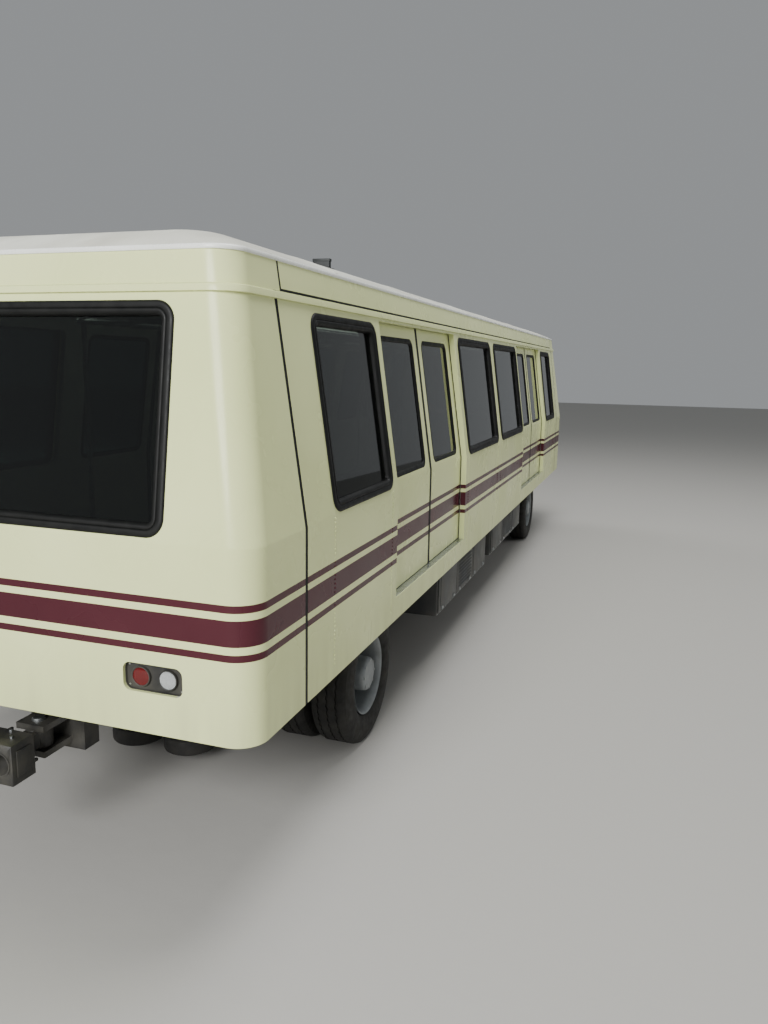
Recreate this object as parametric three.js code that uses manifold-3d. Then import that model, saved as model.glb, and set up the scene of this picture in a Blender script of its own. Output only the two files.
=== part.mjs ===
// Automated people mover: one rubber-tyred car, guided by a beam between its wheels.
// Millimetres, +X along the car, +Z up, origin on the running surface under the car's centre.
import * as THREE from 'three';
import { mergeVertices } from 'three/addons/utils/BufferGeometryUtils.js';
import Module from 'manifold-3d';

const wasm = await Module();
wasm.setup();

// Body shell
const bodyHalfLength = 5925;
const bodyHalfWidth = 1420;
const cornerRadius = 150;
const wallThickness = 50;
const sillZ = 930;
const floorZ = 1100;
const floorThickness = 60;
const beltZ = 1882;
const leanAngle = THREE.MathUtils.degToRad(8.4);
const headerZ = 3060;
const ceilingZ = 3130;
const roofEdgeZ = 3208;
const gutterZ = 3230;
const gutterInset = 8;
const roofShoulderZ = 3292;
const roofShoulderInset = 160;
const roofTopZ = 3380;
const roofTopInset = 560;
const cornerSteps = 8;
const capLength = 605;
const seatGap = 0.3;

// Windows, measured to the outer edge of their rubber
const windowLowZ = 1890;
const windowHighZ = 2982;
const windowRadius = 95;
const rubberOverlap = 28;
const rubberWidth = 70;
const rubberRise = 12;
const glassThickness = 10;
const glassDepth = 24;
const endWindowFrom = 3905;
const endWindowTo = 4955;
const midWindowFrom = 95;
const midWindowTo = 1595;
const screenHalfWidth = 960;
const screenLowZ = 1900;
const screenHighZ = 2982;

// Doorways and sliding leaves
const doorCentre = 2750;
const doorHalfOpening = 1050;
const doorTopZ = 3000;
const leafGap = 8;
const leafThickness = 34;
const leafOverlap = 40;
const leafMeetingGap = 3;
const leafLowZ = 1106;
const leafHighZ = 3030;
const leafRunning = 0.4;
const leafGlassFrom = 95;
const leafGlassTo = 950;
const leafGlassRadius = 95;
const leafRubberOverlap = 22;
const leafRubberWidth = 58;
const coveInner = 960;
const coveLowZ = 3040;

// Running gear
const bogieCentre = 3800;
const tyreRadius = 500;
const tyreInnerY = 640;
const tyreWidth = 280;
const tyreSpacing = 320;
const rimRadius = 290;
const wheelSides = 20;
const axleRadius = 105;
const axleEndY = 620;
const frameHalfLength = 820;
const frameHalfWidth = 570;
const frameLowZ = 620;
const frameHighZ = 740;
const ringRadius = 420;
const underframeLowZ = 900;
const guideX = 760;
const guideY = 205;
const guideRadius = 180;
const guideSides = 16;
const guideLowZ = 120;
const guideHighZ = 230;
const guideBossZ = 262;

// Couplers
const couplerPinX = 5720;
const couplerPinRadius = 24;
const couplerZ = 685;
const couplerHalfHeight = 55;
const couplerHeadX = 5900;
const couplerFaceX = 6060;

// Roof box seen above the roof edge, on two opposite corners
const roofBox = { from: 3825, to: 3860, inner: 800, outer: 920, topZ: 3405 };

// Twin lamps in a recess low on each side of both ends
const lampCentreY = 880;
const lampCentreZ = 1210;
const lampSpacing = 150;
const lampRadius = 52;
const lampRise = 16;
const recessHalfWidth = 165;
const recessHalfHeight = 72;
const recessRadius = 40;
const recessDepth = 30;

const sides = [
  { name: 'left', sign: 1 },
  { name: 'right', sign: -1 },
];
const ends = [
  { name: 'front', sign: 1 },
  { name: 'rear', sign: -1 },
];

const finishes = {
  ivory: { color: 0xdfe0b4, roughness: 0.28, metalness: 0.0 },
  roof: { color: 0xd6d6c0, roughness: 0.45, metalness: 0.0 },
  black: { color: 0x1b1c1d, roughness: 0.6, metalness: 0.2 },
  glass: { color: 0x20282a, roughness: 0.08, metalness: 0.0 },
  tyre: { color: 0x161616, roughness: 0.9, metalness: 0.0 },
  steel: { color: 0x6d7072, roughness: 0.45, metalness: 0.8 },
  floor: { color: 0x4a4c50, roughness: 0.8, metalness: 0.0 },
  seat: { color: 0x53606b, roughness: 0.5, metalness: 0.0 },
  rail: { color: 0xb9bcbe, roughness: 0.25, metalness: 1.0 },
};

const car = new THREE.Group();

function addPiece(name, geometry, finish) {
  const material = new THREE.MeshStandardMaterial(finishes[finish]);
  const mesh = new THREE.Mesh(geometry, material);
  mesh.name = name;
  car.add(mesh);
  return mesh;
}

function toSolid(geometry) {
  const bare = geometry.clone();
  bare.deleteAttribute('normal');
  bare.deleteAttribute('uv');
  const merged = mergeVertices(bare, 1e-4);
  const vertProperties = new Float32Array(merged.attributes.position.array);
  const triVerts = new Uint32Array(merged.index.array);
  return new wasm.Manifold(new wasm.Mesh({ numProp: 3, vertProperties, triVerts }));
}

function toGeometry(solid) {
  const mesh = solid.getMesh();
  const geometry = new THREE.BufferGeometry();
  geometry.setAttribute('position', new THREE.BufferAttribute(mesh.vertProperties, 3));
  geometry.setIndex(new THREE.BufferAttribute(mesh.triVerts, 1));
  geometry.computeVertexNormals();
  return geometry;
}

function join(solids) {
  return solids.reduce((whole, solid) => whole.add(solid));
}

function block(x0, x1, y0, y1, z0, z1) {
  const geometry = new THREE.BoxGeometry(x1 - x0, y1 - y0, z1 - z0);
  geometry.translate((x0 + x1) / 2, (y0 + y1) / 2, (z0 + z1) / 2);
  return toSolid(geometry);
}

// A block between two distances from the centre plane, on the side given by sign
function sideBlock(sign, x0, x1, near, far, z0, z1) {
  const y0 = Math.min(sign * near, sign * far);
  const y1 = Math.max(sign * near, sign * far);
  return block(x0, x1, y0, y1, z0, z1);
}

function endBlock(sign, near, far, y0, y1, z0, z1) {
  const x0 = Math.min(sign * near, sign * far);
  const x1 = Math.max(sign * near, sign * far);
  return block(x0, x1, y0, y1, z0, z1);
}

function upright(radius, x, y, z0, z1, segments) {
  const geometry = new THREE.CylinderGeometry(radius, radius, z1 - z0, segments);
  geometry.rotateX(Math.PI / 2);
  geometry.translate(x, y, (z0 + z1) / 2);
  return toSolid(geometry);
}

// Plan outline of the body at one height, anticlockwise from above
function planOutline({ halfX, halfY, radius, z }) {
  const corners = [[1, 1, 0], [-1, 1, 1], [-1, -1, 2], [1, -1, 3]];
  const points = [];
  for (const [signX, signY, quarter] of corners) {
    for (let i = 0; i <= cornerSteps; i += 1) {
      const angle = (quarter + i / cornerSteps) * Math.PI / 2;
      const x = signX * (halfX - radius) + radius * Math.cos(angle);
      const y = signY * (halfY - radius) + radius * Math.sin(angle);
      points.push([x, y, z]);
    }
  }
  return points;
}

function loft(sections) {
  const rings = sections.map(planOutline);
  const count = rings[0].length;
  const index = [];
  for (let level = 0; level + 1 < rings.length; level += 1) {
    for (let i = 0; i < count; i += 1) {
      const next = (i + 1) % count;
      const a = level * count + i;
      const b = level * count + next;
      const c = (level + 1) * count + next;
      const d = (level + 1) * count + i;
      index.push(a, b, c, a, c, d);
    }
  }
  const top = (rings.length - 1) * count;
  for (let i = 1; i + 1 < count; i += 1) {
    index.push(0, i + 1, i);
    index.push(top, top + i, top + i + 1);
  }
  const geometry = new THREE.BufferGeometry();
  geometry.setAttribute('position', new THREE.Float32BufferAttribute(rings.flat(2), 3));
  geometry.setIndex(index);
  return toSolid(geometry);
}

// Half width of the surface that lies depth behind the outer skin, at height z
function skinY(depth, z) {
  const crease = beltZ - depth * Math.tan(leanAngle / 2);
  const lean = Math.max(0, z - crease) * Math.tan(leanAngle);
  return bodyHalfWidth - depth - lean;
}

function creaseZ(depth) {
  return beltZ - depth * Math.tan(leanAngle / 2);
}

function bodySection(depth, z, inset = 0) {
  const halfY = skinY(depth, z) - inset;
  const halfX = halfY + bodyHalfLength - bodyHalfWidth;
  return { halfX, halfY, radius: cornerRadius - depth, z };
}

function makeShell() {
  const outer = loft([
    bodySection(0, sillZ),
    bodySection(0, beltZ),
    bodySection(0, roofEdgeZ),
    { ...bodySection(0, roofEdgeZ, gutterInset), z: gutterZ },
    { ...bodySection(0, roofEdgeZ, roofShoulderInset), z: roofShoulderZ },
    { ...bodySection(0, roofEdgeZ, roofTopInset), z: roofTopZ },
  ]);
  const inner = loft([
    { ...bodySection(wallThickness, sillZ), z: sillZ - 50 },
    bodySection(wallThickness, creaseZ(wallThickness)),
    bodySection(wallThickness, ceilingZ),
  ]);
  return outer.subtract(inner);
}

// Frame on the leaning part of a wall: x along the wall, y up it, z out of it
function sideFrame(sign) {
  const along = new THREE.Vector3(-sign, 0, 0);
  const up = new THREE.Vector3(0, -sign * Math.sin(leanAngle), Math.cos(leanAngle));
  const out = new THREE.Vector3(0, sign * Math.cos(leanAngle), Math.sin(leanAngle));
  const frame = new THREE.Matrix4().makeBasis(along, up, out);
  return frame.setPosition(0, sign * bodyHalfWidth, beltZ);
}

function endFrame(sign) {
  const along = new THREE.Vector3(0, sign, 0);
  const up = new THREE.Vector3(-sign * Math.sin(leanAngle), 0, Math.cos(leanAngle));
  const out = new THREE.Vector3(sign * Math.cos(leanAngle), 0, Math.sin(leanAngle));
  const frame = new THREE.Matrix4().makeBasis(along, up, out);
  return frame.setPosition(sign * bodyHalfLength, 0, beltZ);
}

function roundedShape(x0, x1, y0, y1, radius) {
  const shape = new THREE.Shape();
  shape.moveTo(x0 + radius, y0);
  shape.lineTo(x1 - radius, y0);
  shape.absarc(x1 - radius, y0 + radius, radius, -Math.PI / 2, 0);
  shape.lineTo(x1, y1 - radius);
  shape.absarc(x1 - radius, y1 - radius, radius, 0, Math.PI / 2);
  shape.lineTo(x0 + radius, y1);
  shape.absarc(x0 + radius, y1 - radius, radius, Math.PI / 2, Math.PI);
  shape.lineTo(x0, y0 + radius);
  shape.absarc(x0 + radius, y0 + radius, radius, Math.PI, 1.5 * Math.PI);
  return shape;
}

// A rounded plate in a wall's frame, from depth near to depth far behind the skin
function wallPlate(frame, { from, to, low, high, radius, inset, near, far }) {
  const y0 = (low - beltZ) / Math.cos(leanAngle) + inset;
  const y1 = (high - beltZ) / Math.cos(leanAngle) - inset;
  const shape = roundedShape(from + inset, to - inset, y0, y1, radius - inset);
  const geometry = new THREE.ExtrudeGeometry(shape, {
    depth: far - near,
    bevelEnabled: false,
    curveSegments: 2,
  });
  geometry.translate(0, 0, -far);
  geometry.applyMatrix4(frame);
  return geometry;
}

// Window openings on one side: name, and the two ends along the car
const sideWindows = [
  { name: 'rear_end', from: -endWindowTo, to: -endWindowFrom },
  { name: 'rear_mid', from: -midWindowTo, to: -midWindowFrom },
  { name: 'front_mid', from: midWindowFrom, to: midWindowTo },
  { name: 'front_end', from: endWindowFrom, to: endWindowTo },
];

function windowPlate(sign, opening, inset, near, far) {
  const from = Math.min(-sign * opening.from, -sign * opening.to);
  const to = Math.max(-sign * opening.from, -sign * opening.to);
  const sizes = { from, to, low: windowLowZ, high: windowHighZ, radius: windowRadius };
  return wallPlate(sideFrame(sign), { ...sizes, inset, near, far });
}

function screenPlate(sign, inset, near, far) {
  const sizes = { from: -screenHalfWidth, to: screenHalfWidth, low: screenLowZ, high: screenHighZ };
  return wallPlate(endFrame(sign), { ...sizes, radius: windowRadius, inset, near, far });
}

function extrudeAlongX(points, x0, x1) {
  const shape = new THREE.Shape(points.map(([y, z]) => new THREE.Vector2(y, z)));
  const geometry = new THREE.ExtrudeGeometry(shape, { depth: x1 - x0, bevelEnabled: false });
  const across = new THREE.Vector3(0, 1, 0);
  const up = new THREE.Vector3(0, 0, 1);
  const along = new THREE.Vector3(1, 0, 0);
  geometry.applyMatrix4(new THREE.Matrix4().makeBasis(across, up, along).setPosition(x0, 0, 0));
  return geometry;
}

function makeSideWall(shell, { name, sign }) {
  const halfLength = bodyHalfLength - capLength - seatGap / 2;
  const far = bodyHalfWidth + 50;
  let wall = shell.intersect(
    sideBlock(sign, -halfLength, halfLength, 500, far, sillZ - 10, headerZ - seatGap / 2),
  );
  for (const opening of sideWindows) {
    const hole = windowPlate(sign, opening, rubberOverlap, -60, wallThickness + 60);
    wall = wall.subtract(toSolid(hole));
  }
  for (const centre of [-doorCentre, doorCentre]) {
    const doorway = sideBlock(
      sign,
      centre - doorHalfOpening,
      centre + doorHalfOpening,
      500,
      far,
      floorZ,
      doorTopZ,
    );
    wall = wall.subtract(doorway);
  }
  addPiece(`side_wall_${name}`, toGeometry(wall), 'ivory');
}

// A pane in its rubber: plate(inset, near, far) gives a slab of the opening's outline
function makeGlazing(plate) {
  const back = glassDepth + glassThickness;
  const lip = toSolid(plate(0, -rubberRise, -seatGap));
  const body = toSolid(plate(rubberOverlap + seatGap, -rubberRise / 2, back));
  return lip.add(body).subtract(toSolid(plate(rubberWidth, -60, glassDepth)));
}

function makeSideGlass({ name, sign }) {
  for (const opening of sideWindows) {
    const unit = makeGlazing((inset, near, far) => windowPlate(sign, opening, inset, near, far));
    addPiece(`window_${opening.name}_${name}`, toGeometry(unit), 'glass');
  }
}

function makeLampRecess(sign, side) {
  const shape = roundedShape(
    side * lampCentreY - recessHalfWidth,
    side * lampCentreY + recessHalfWidth,
    lampCentreZ - recessHalfHeight,
    lampCentreZ + recessHalfHeight,
    recessRadius,
  );
  const geometry = new THREE.ExtrudeGeometry(shape, {
    depth: 2 * recessDepth,
    bevelEnabled: false,
    curveSegments: 2,
  });
  const across = new THREE.Vector3(0, 1, 0);
  const up = new THREE.Vector3(0, 0, 1);
  const out = new THREE.Vector3(1, 0, 0);
  const floorX = sign * bodyHalfLength - recessDepth;
  geometry.applyMatrix4(new THREE.Matrix4().makeBasis(across, up, out).setPosition(floorX, 0, 0));
  let recess = toSolid(geometry);
  const near = bodyHalfLength - recessDepth;
  for (const place of [-0.5, 0.5]) {
    const lamp = new THREE.CylinderGeometry(lampRadius, lampRadius, 2 * lampRise, 16);
    lamp.rotateZ(Math.PI / 2);
    const y = side * lampCentreY + place * lampSpacing;
    lamp.translate(sign * near, y, lampCentreZ);
    recess = recess.subtract(toSolid(lamp));
  }
  return recess;
}

function makeEndCap(shell, { name, sign }) {
  const near = bodyHalfLength - capLength + seatGap / 2;
  const far = bodyHalfLength + 50;
  const region = endBlock(sign, near, far, -1500, 1500, sillZ - 10, roofTopZ + 10);
  const hole = screenPlate(sign, rubberOverlap, -60, wallThickness + 60);
  let cap = shell.intersect(region).subtract(toSolid(hole));
  for (const side of [-1, 1]) {
    cap = cap.subtract(makeLampRecess(sign, side));
  }
  addPiece(`end_cap_${name}`, toGeometry(cap), 'ivory');
  const unit = makeGlazing((inset, from, to) => screenPlate(sign, inset, from, to));
  addPiece(`windscreen_${name}`, toGeometry(unit), 'glass');
}

function makeRoof(shell) {
  const halfLength = bodyHalfLength - capLength - seatGap / 2;
  const parts = [
    shell.intersect(
      block(-halfLength, halfLength, -1500, 1500, headerZ + seatGap / 2, roofTopZ + 10),
    ),
  ];
  const depth = wallThickness + seatGap;
  for (const { sign } of sides) {
    const cove = [
      [sign * coveInner, coveLowZ + 40],
      [sign * (coveInner + 60), coveLowZ],
      [sign * skinY(depth, coveLowZ), coveLowZ],
      [sign * skinY(depth, ceilingZ + 5), ceilingZ + 5],
      [sign * coveInner, ceilingZ + 5],
    ];
    parts.push(toSolid(extrudeAlongX(cove, -halfLength, halfLength)));
  }
  addPiece('roof', toGeometry(join(parts)), 'roof');
}

// Middle of a leaf's thickness at the floor, where its rail runs
const leafNear = wallThickness + leafGap;
const leafFar = leafNear + leafThickness;
const railY = skinY((leafNear + leafFar) / 2, leafLowZ);

function makeFloor() {
  const deckDepth = wallThickness + seatGap;
  const deck = loft([
    bodySection(deckDepth, floorZ - floorThickness),
    bodySection(deckDepth, floorZ),
  ]);
  const parts = [deck];
  const from = doorCentre - 2 * doorHalfOpening;
  const to = doorCentre + 2 * doorHalfOpening;
  const railTop = leafLowZ - leafRunning;
  for (const { sign: side } of sides) {
    for (const { sign: end } of ends) {
      const x0 = Math.min(end * from, end * to);
      const x1 = Math.max(end * from, end * to);
      parts.push(sideBlock(side, x0, x1, railY - 6, railY + 6, floorZ - 5, railTop));
    }
  }
  addPiece('floor_deck', toGeometry(join(parts)), 'floor');
}

// One leaf: end is the car's end, toward is +1 for the leaf nearer that end
function makeLeaf({ name: sideName, sign }, end, toward) {
  const centre = end.sign * doorCentre;
  const direction = end.sign * toward;
  const reach = doorHalfOpening + leafOverlap;
  const x0 = Math.min(centre + direction * leafMeetingGap, centre + direction * reach);
  const x1 = Math.max(centre + direction * leafMeetingGap, centre + direction * reach);
  const section = [
    [sign * skinY(leafNear, leafLowZ), leafLowZ],
    [sign * skinY(leafNear, creaseZ(leafNear)), creaseZ(leafNear)],
    [sign * skinY(leafNear, leafHighZ), leafHighZ],
    [sign * skinY(leafFar, leafHighZ), leafHighZ],
    [sign * skinY(leafFar, creaseZ(leafFar)), creaseZ(leafFar)],
    [sign * skinY(leafFar, leafLowZ), leafLowZ],
  ];
  const glassX0 = Math.min(centre + direction * leafGlassFrom, centre + direction * leafGlassTo);
  const glassX1 = Math.max(centre + direction * leafGlassFrom, centre + direction * leafGlassTo);
  const sizes = {
    from: Math.min(-sign * glassX0, -sign * glassX1),
    to: Math.max(-sign * glassX0, -sign * glassX1),
    low: windowLowZ + 20,
    high: windowHighZ - 40,
    radius: leafGlassRadius,
  };
  const frame = sideFrame(sign);
  const plate = (inset, near, far) => toSolid(wallPlate(frame, { ...sizes, inset, near, far }));
  const hole = plate(leafRubberOverlap, leafNear - 40, leafFar + 40);
  const middle = (leafNear + leafFar) / 2;
  const pane = plate(leafRubberOverlap + seatGap, leafNear + 1, leafFar - 1)
    .subtract(plate(leafRubberWidth, leafNear - 40, middle - 4))
    .subtract(plate(leafRubberWidth, middle + 4, leafFar + 40));
  const leaf = toSolid(extrudeAlongX(section, x0, x1)).subtract(hole);
  const place = toward > 0 ? 'outer' : 'inner';
  addPiece(`door_${end.name}_${sideName}_${place}`, toGeometry(leaf), 'ivory');
  addPiece(`door_glass_${end.name}_${sideName}_${place}`, toGeometry(pane), 'glass');
}

function makeUnderframe() {
  const top = floorZ - floorThickness - seatGap;
  const parts = [];
  for (const { sign } of sides) {
    parts.push(sideBlock(sign, -5600, 5600, 410, 490, underframeLowZ, top));
  }
  const bearerWidth = skinY(wallThickness + seatGap, sillZ);
  for (const x of [-5600, -4620, -2960, -1800, -600, 600, 1800, 2960, 4620, 5600]) {
    parts.push(block(x - 40, x + 40, -bearerWidth, bearerWidth, sillZ + 10, top));
  }
  for (const { sign } of ends) {
    parts.push(endBlock(sign, bogieCentre - 450, bogieCentre + 450, -500, 500, underframeLowZ, top));
    parts.push(endBlock(sign, 5460, 5580, -180, 180, 560, top));
    for (const level of [-1, 1]) {
      const near = couplerZ + level * (couplerHalfHeight + leafRunning);
      const far = couplerZ + level * (couplerHalfHeight + 35);
      const z0 = Math.min(near, far);
      const z1 = Math.max(near, far);
      parts.push(endBlock(sign, 5570, couplerPinX + 70, -90, 90, z0, z1));
    }
    const pinHalf = couplerHalfHeight + 20;
    const pinX = sign * couplerPinX;
    parts.push(upright(couplerPinRadius, pinX, 0, couplerZ - pinHalf, couplerZ + pinHalf, 12));
  }
  addPiece('underframe', toGeometry(join(parts)), 'black');
}

function makeCoupler({ name, sign }) {
  const low = couplerZ - couplerHalfHeight;
  const high = couplerZ + couplerHalfHeight;
  const pinX = sign * couplerPinX;
  const eye = upright(70, pinX, 0, low, high, 16);
  const shank = endBlock(sign, couplerPinX, couplerHeadX + 20, -45, 45, low + 10, high - 10);
  const head = endBlock(sign, couplerHeadX, couplerFaceX, -130, 130, couplerZ - 110, couplerZ + 110);
  const bore = upright(couplerPinRadius + 2, pinX, 0, low - 5, high + 5, 24);
  addPiece(`coupler_${name}`, toGeometry(join([eye, shank, head]).subtract(bore)), 'black');
}

// Lathe about the wheel's own axle, with a flat side downwards
function wheelLathe(profile, segments) {
  const stretch = 1 / Math.cos(Math.PI / segments);
  const points = profile.map(([radius, along]) => new THREE.Vector2(radius * stretch, along));
  return new THREE.LatheGeometry(points, segments, Math.PI / segments);
}

function tyreProfile(offset) {
  return [
    [rimRadius + 70, offset],
    [tyreRadius - 20, offset + 22],
    [tyreRadius, offset + 60],
    [tyreRadius, offset + tyreWidth - 60],
    [tyreRadius - 20, offset + tyreWidth - 22],
    [rimRadius + 70, offset + tyreWidth],
  ];
}

function makeWheel(x, { name: sideName, sign }, endName) {
  const width = tyreSpacing + tyreWidth;
  const tyres = [
    [rimRadius, 20],
    ...tyreProfile(0),
    [rimRadius + 12, tyreWidth - 20],
    [rimRadius + 12, tyreSpacing + 20],
    ...tyreProfile(tyreSpacing),
    [rimRadius, width - 20],
    [rimRadius, 20],
  ];
  const rim = rimRadius - 0.4;
  const inner = axleEndY + 0.4 - tyreInnerY;
  const hub = [
    [0, inner],
    [150, inner],
    [150, 90],
    [262, 90],
    [rim, 15],
    [rim, width - 15],
    [262, width - 15],
    [262, 330],
    [145, 330],
    [120, width - 10],
    [0, width - 10],
  ];
  for (const [piece, profile, finish] of [['tyres', tyres, 'tyre'], ['hub', hub, 'steel']]) {
    const geometry = wheelLathe(profile, wheelSides);
    if (sign < 0) {
      geometry.rotateX(Math.PI);
    }
    geometry.translate(x, sign * tyreInnerY, tyreRadius);
    addPiece(`${piece}_${endName}_${sideName}`, geometry, finish);
  }
}

function makeBogieFrame({ name, sign }) {
  const x = sign * bogieCentre;
  const parts = [];
  for (const side of [-1, 1]) {
    const inner = frameHalfWidth - 100;
    const far = frameHalfLength;
    parts.push(sideBlock(side, x - far, x + far, inner, frameHalfWidth, frameLowZ, frameHighZ));
    parts.push(sideBlock(side, x - 90, x + 90, inner, frameHalfWidth, tyreRadius, frameLowZ + 10));
    const y = frameHalfWidth;
    parts.push(block(
      x + side * (frameHalfLength - 60) - 60,
      x + side * (frameHalfLength - 60) + 60,
      -y,
      y,
      frameLowZ,
      frameHighZ,
    ));
    for (const across of [-1, 1]) {
      const postX = x + side * guideX;
      const postY = across * guideY;
      const postTop = frameLowZ + 10;
      parts.push(block(postX - 40, postX + 40, postY - 40, postY + 40, guideBossZ + 0.4, postTop));
    }
    parts.push(block(
      x + side * guideX - 30,
      x + side * guideX + 30,
      -guideY,
      guideY,
      guideBossZ + 60,
      guideBossZ + 130,
    ));
  }
  parts.push(block(x - 260, x + 260, -frameHalfWidth, frameHalfWidth, frameLowZ + 20, 800));
  parts.push(upright(ringRadius, x, 0, 790, underframeLowZ - 0.4, 24));
  const axle = new THREE.LatheGeometry([
    new THREE.Vector2(0, -axleEndY),
    new THREE.Vector2(axleRadius + 45, -axleEndY),
    new THREE.Vector2(axleRadius + 45, -axleEndY + 60),
    new THREE.Vector2(axleRadius, -axleEndY + 90),
    new THREE.Vector2(axleRadius, -300),
    new THREE.Vector2(215, -150),
    new THREE.Vector2(215, 150),
    new THREE.Vector2(axleRadius, 300),
    new THREE.Vector2(axleRadius, axleEndY - 90),
    new THREE.Vector2(axleRadius + 45, axleEndY - 60),
    new THREE.Vector2(axleRadius + 45, axleEndY),
    new THREE.Vector2(0, axleEndY),
  ], 16);
  axle.translate(x, 0, tyreRadius);
  parts.push(toSolid(axle));
  addPiece(`bogie_frame_${name}`, toGeometry(join(parts)), 'black');
}

function makeGuideWheel(x, y, name) {
  const profile = [
    [0, guideLowZ],
    [guideRadius - 18, guideLowZ],
    [guideRadius, guideLowZ + 18],
    [guideRadius, guideHighZ - 18],
    [guideRadius - 18, guideHighZ],
    [55, guideHighZ],
    [55, guideBossZ],
    [0, guideBossZ],
  ];
  const geometry = wheelLathe(profile, guideSides);
  geometry.rotateX(Math.PI / 2);
  geometry.translate(x, y, 0);
  addPiece(name, geometry, 'tyre');
}

function makeBogie(end) {
  const x = end.sign * bogieCentre;
  makeBogieFrame(end);
  for (const side of sides) {
    makeWheel(x, side, end.name);
  }
  for (const [place, along] of [['lead', 1], ['trail', -1]]) {
    for (const side of sides) {
      const wheelX = x + end.sign * along * guideX;
      const wheelName = `guide_wheel_${end.name}_${place}_${side.name}`;
      makeGuideWheel(wheelX, side.sign * guideY, wheelName);
    }
  }
}

function makeEquipment() {
  const top = sillZ + 10 - seatGap;
  const parts = [];
  for (const { sign } of sides) {
    parts.push(sideBlock(sign, -2250, -150, 560, 1330, 480, top));
    parts.push(sideBlock(sign, 150, 2250, 560, 1330, 520, top));
    parts.push(sideBlock(sign, -200, 200, 600, 900, 600, 850));
  }
  parts.push(block(-160, 160, -620, 620, 640, 820));
  addPiece('equipment_cases', toGeometry(join(parts)), 'black');
}

function makeBench({ name, sign }) {
  const profile = [
    [5395, floorZ + seatGap],
    [5825, floorZ + seatGap],
    [5860, 1850],
    [5805, 1850],
    [5765, 1560],
    [5345, 1548],
    [5335, 1500],
    [5395, 1490],
  ];
  const points = profile.map(([x, z]) => new THREE.Vector2(sign * x, z));
  const width = 2000;
  const shape = new THREE.Shape(points);
  const geometry = new THREE.ExtrudeGeometry(shape, { depth: width, bevelEnabled: false });
  geometry.rotateX(Math.PI / 2);
  geometry.translate(0, width / 2, 0);
  addPiece(`bench_${name}`, geometry, 'seat');
}

function makeHandrails() {
  const poleY = 520;
  const railZ = 2955;
  const radius = 17;
  const parts = [];
  for (const y of [-poleY, poleY]) {
    const rail = new THREE.CylinderGeometry(radius, radius, 9200, 6);
    rail.rotateZ(Math.PI / 2);
    rail.translate(0, y, railZ);
    parts.push(toSolid(rail));
    for (const x of [-4550, -950, 950, 4550]) {
      parts.push(upright(radius, x, y, floorZ + seatGap, ceilingZ - seatGap, 6));
    }
  }
  for (const x of [-4550, -950, 950, 4550]) {
    const bar = new THREE.CylinderGeometry(radius, radius, 2 * poleY, 6);
    bar.translate(x, 0, railZ);
    parts.push(toSolid(bar));
  }
  addPiece('handrails', toGeometry(join(parts)), 'rail');
}

function makeRoofBox({ name, sign }) {
  const shoulderY = skinY(0, roofEdgeZ) - roofShoulderInset;
  const slope = (roofTopZ - roofShoulderZ) / (roofTopInset - roofShoulderInset);
  const baseZ = (y) => roofShoulderZ + (shoulderY - y) * slope + seatGap;
  const { from, to, inner, outer, topZ } = roofBox;
  const section = [
    [sign * inner, baseZ(inner)],
    [sign * outer, baseZ(outer)],
    [sign * outer, topZ],
    [sign * inner, topZ],
  ];
  const x0 = Math.min(sign * from, sign * to);
  const x1 = Math.max(sign * from, sign * to);
  addPiece(`roof_box_${name}`, extrudeAlongX(section, x0, x1), 'black');
}

const shell = makeShell();
for (const side of sides) {
  makeSideWall(shell, side);
  makeSideGlass(side);
  for (const end of ends) {
    makeLeaf(side, end, 1);
    makeLeaf(side, end, -1);
  }
}
for (const end of ends) {
  makeEndCap(shell, end);
  makeBench(end);
  makeBogie(end);
  makeCoupler(end);
  makeRoofBox(end);
}
makeRoof(shell);
makeFloor();
makeUnderframe();
makeEquipment();
makeHandrails();

export default car;
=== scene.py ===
import math

import bmesh
import bpy
from mathutils import Matrix, Vector


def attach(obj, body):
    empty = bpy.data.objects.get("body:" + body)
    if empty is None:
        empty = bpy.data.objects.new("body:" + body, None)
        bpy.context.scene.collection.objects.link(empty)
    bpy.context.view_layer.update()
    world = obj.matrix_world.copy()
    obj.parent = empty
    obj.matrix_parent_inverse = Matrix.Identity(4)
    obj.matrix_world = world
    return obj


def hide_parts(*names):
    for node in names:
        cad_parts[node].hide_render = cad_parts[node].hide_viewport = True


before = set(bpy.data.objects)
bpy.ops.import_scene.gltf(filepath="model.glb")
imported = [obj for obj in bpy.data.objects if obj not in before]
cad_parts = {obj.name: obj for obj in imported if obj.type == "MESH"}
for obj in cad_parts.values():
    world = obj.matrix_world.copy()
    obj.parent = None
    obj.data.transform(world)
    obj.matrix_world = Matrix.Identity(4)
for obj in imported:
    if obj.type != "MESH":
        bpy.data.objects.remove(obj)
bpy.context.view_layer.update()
scene = bpy.context.scene
print("frame loaded")

ends = {"front": 1, "rear": -1}
sides = {"left": 1, "right": -1}
doorLeaves = [(end, side, place) for end in ends for side in sides for place in ("outer", "inner")]

# metres, the same named sizes as the solids; clear is the gap between solids that meet
body = {
    "halfLength": 5.925, "halfWidth": 1.42, "corner": 0.15, "wall": 0.05, "sill": 0.93, "floor": 1.1,
    "crease": 1.882, "lean": math.radians(8.4), "header": 3.06, "ceiling": 3.13, "clear": 0.0003,
    "roofEdge": 3.208, "gutter": 3.23, "gutterInset": 0.008, "roofTop": 3.38, "roofInset": 0.56,
    "joint": 5.32, "jointGap": 0.032, "coveJoint": 5.268, "coveGap": 0.02, "headerGap": 0.013,
}


def hexColour(code):
    parts = [int(code[i:i + 2], 16) / 255 for i in (1, 3, 5)]
    return tuple(p / 12.92 if p <= 0.04045 else ((p + 0.055) / 1.055) ** 2.4 for p in parts) + (1.0,)


def shade(mesh, smooth):
    mesh.polygons.foreach_set("use_smooth", [True] * len(mesh.polygons))
    mesh.set_sharp_from_angle(angle=math.radians(smooth))
    return mesh


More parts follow.
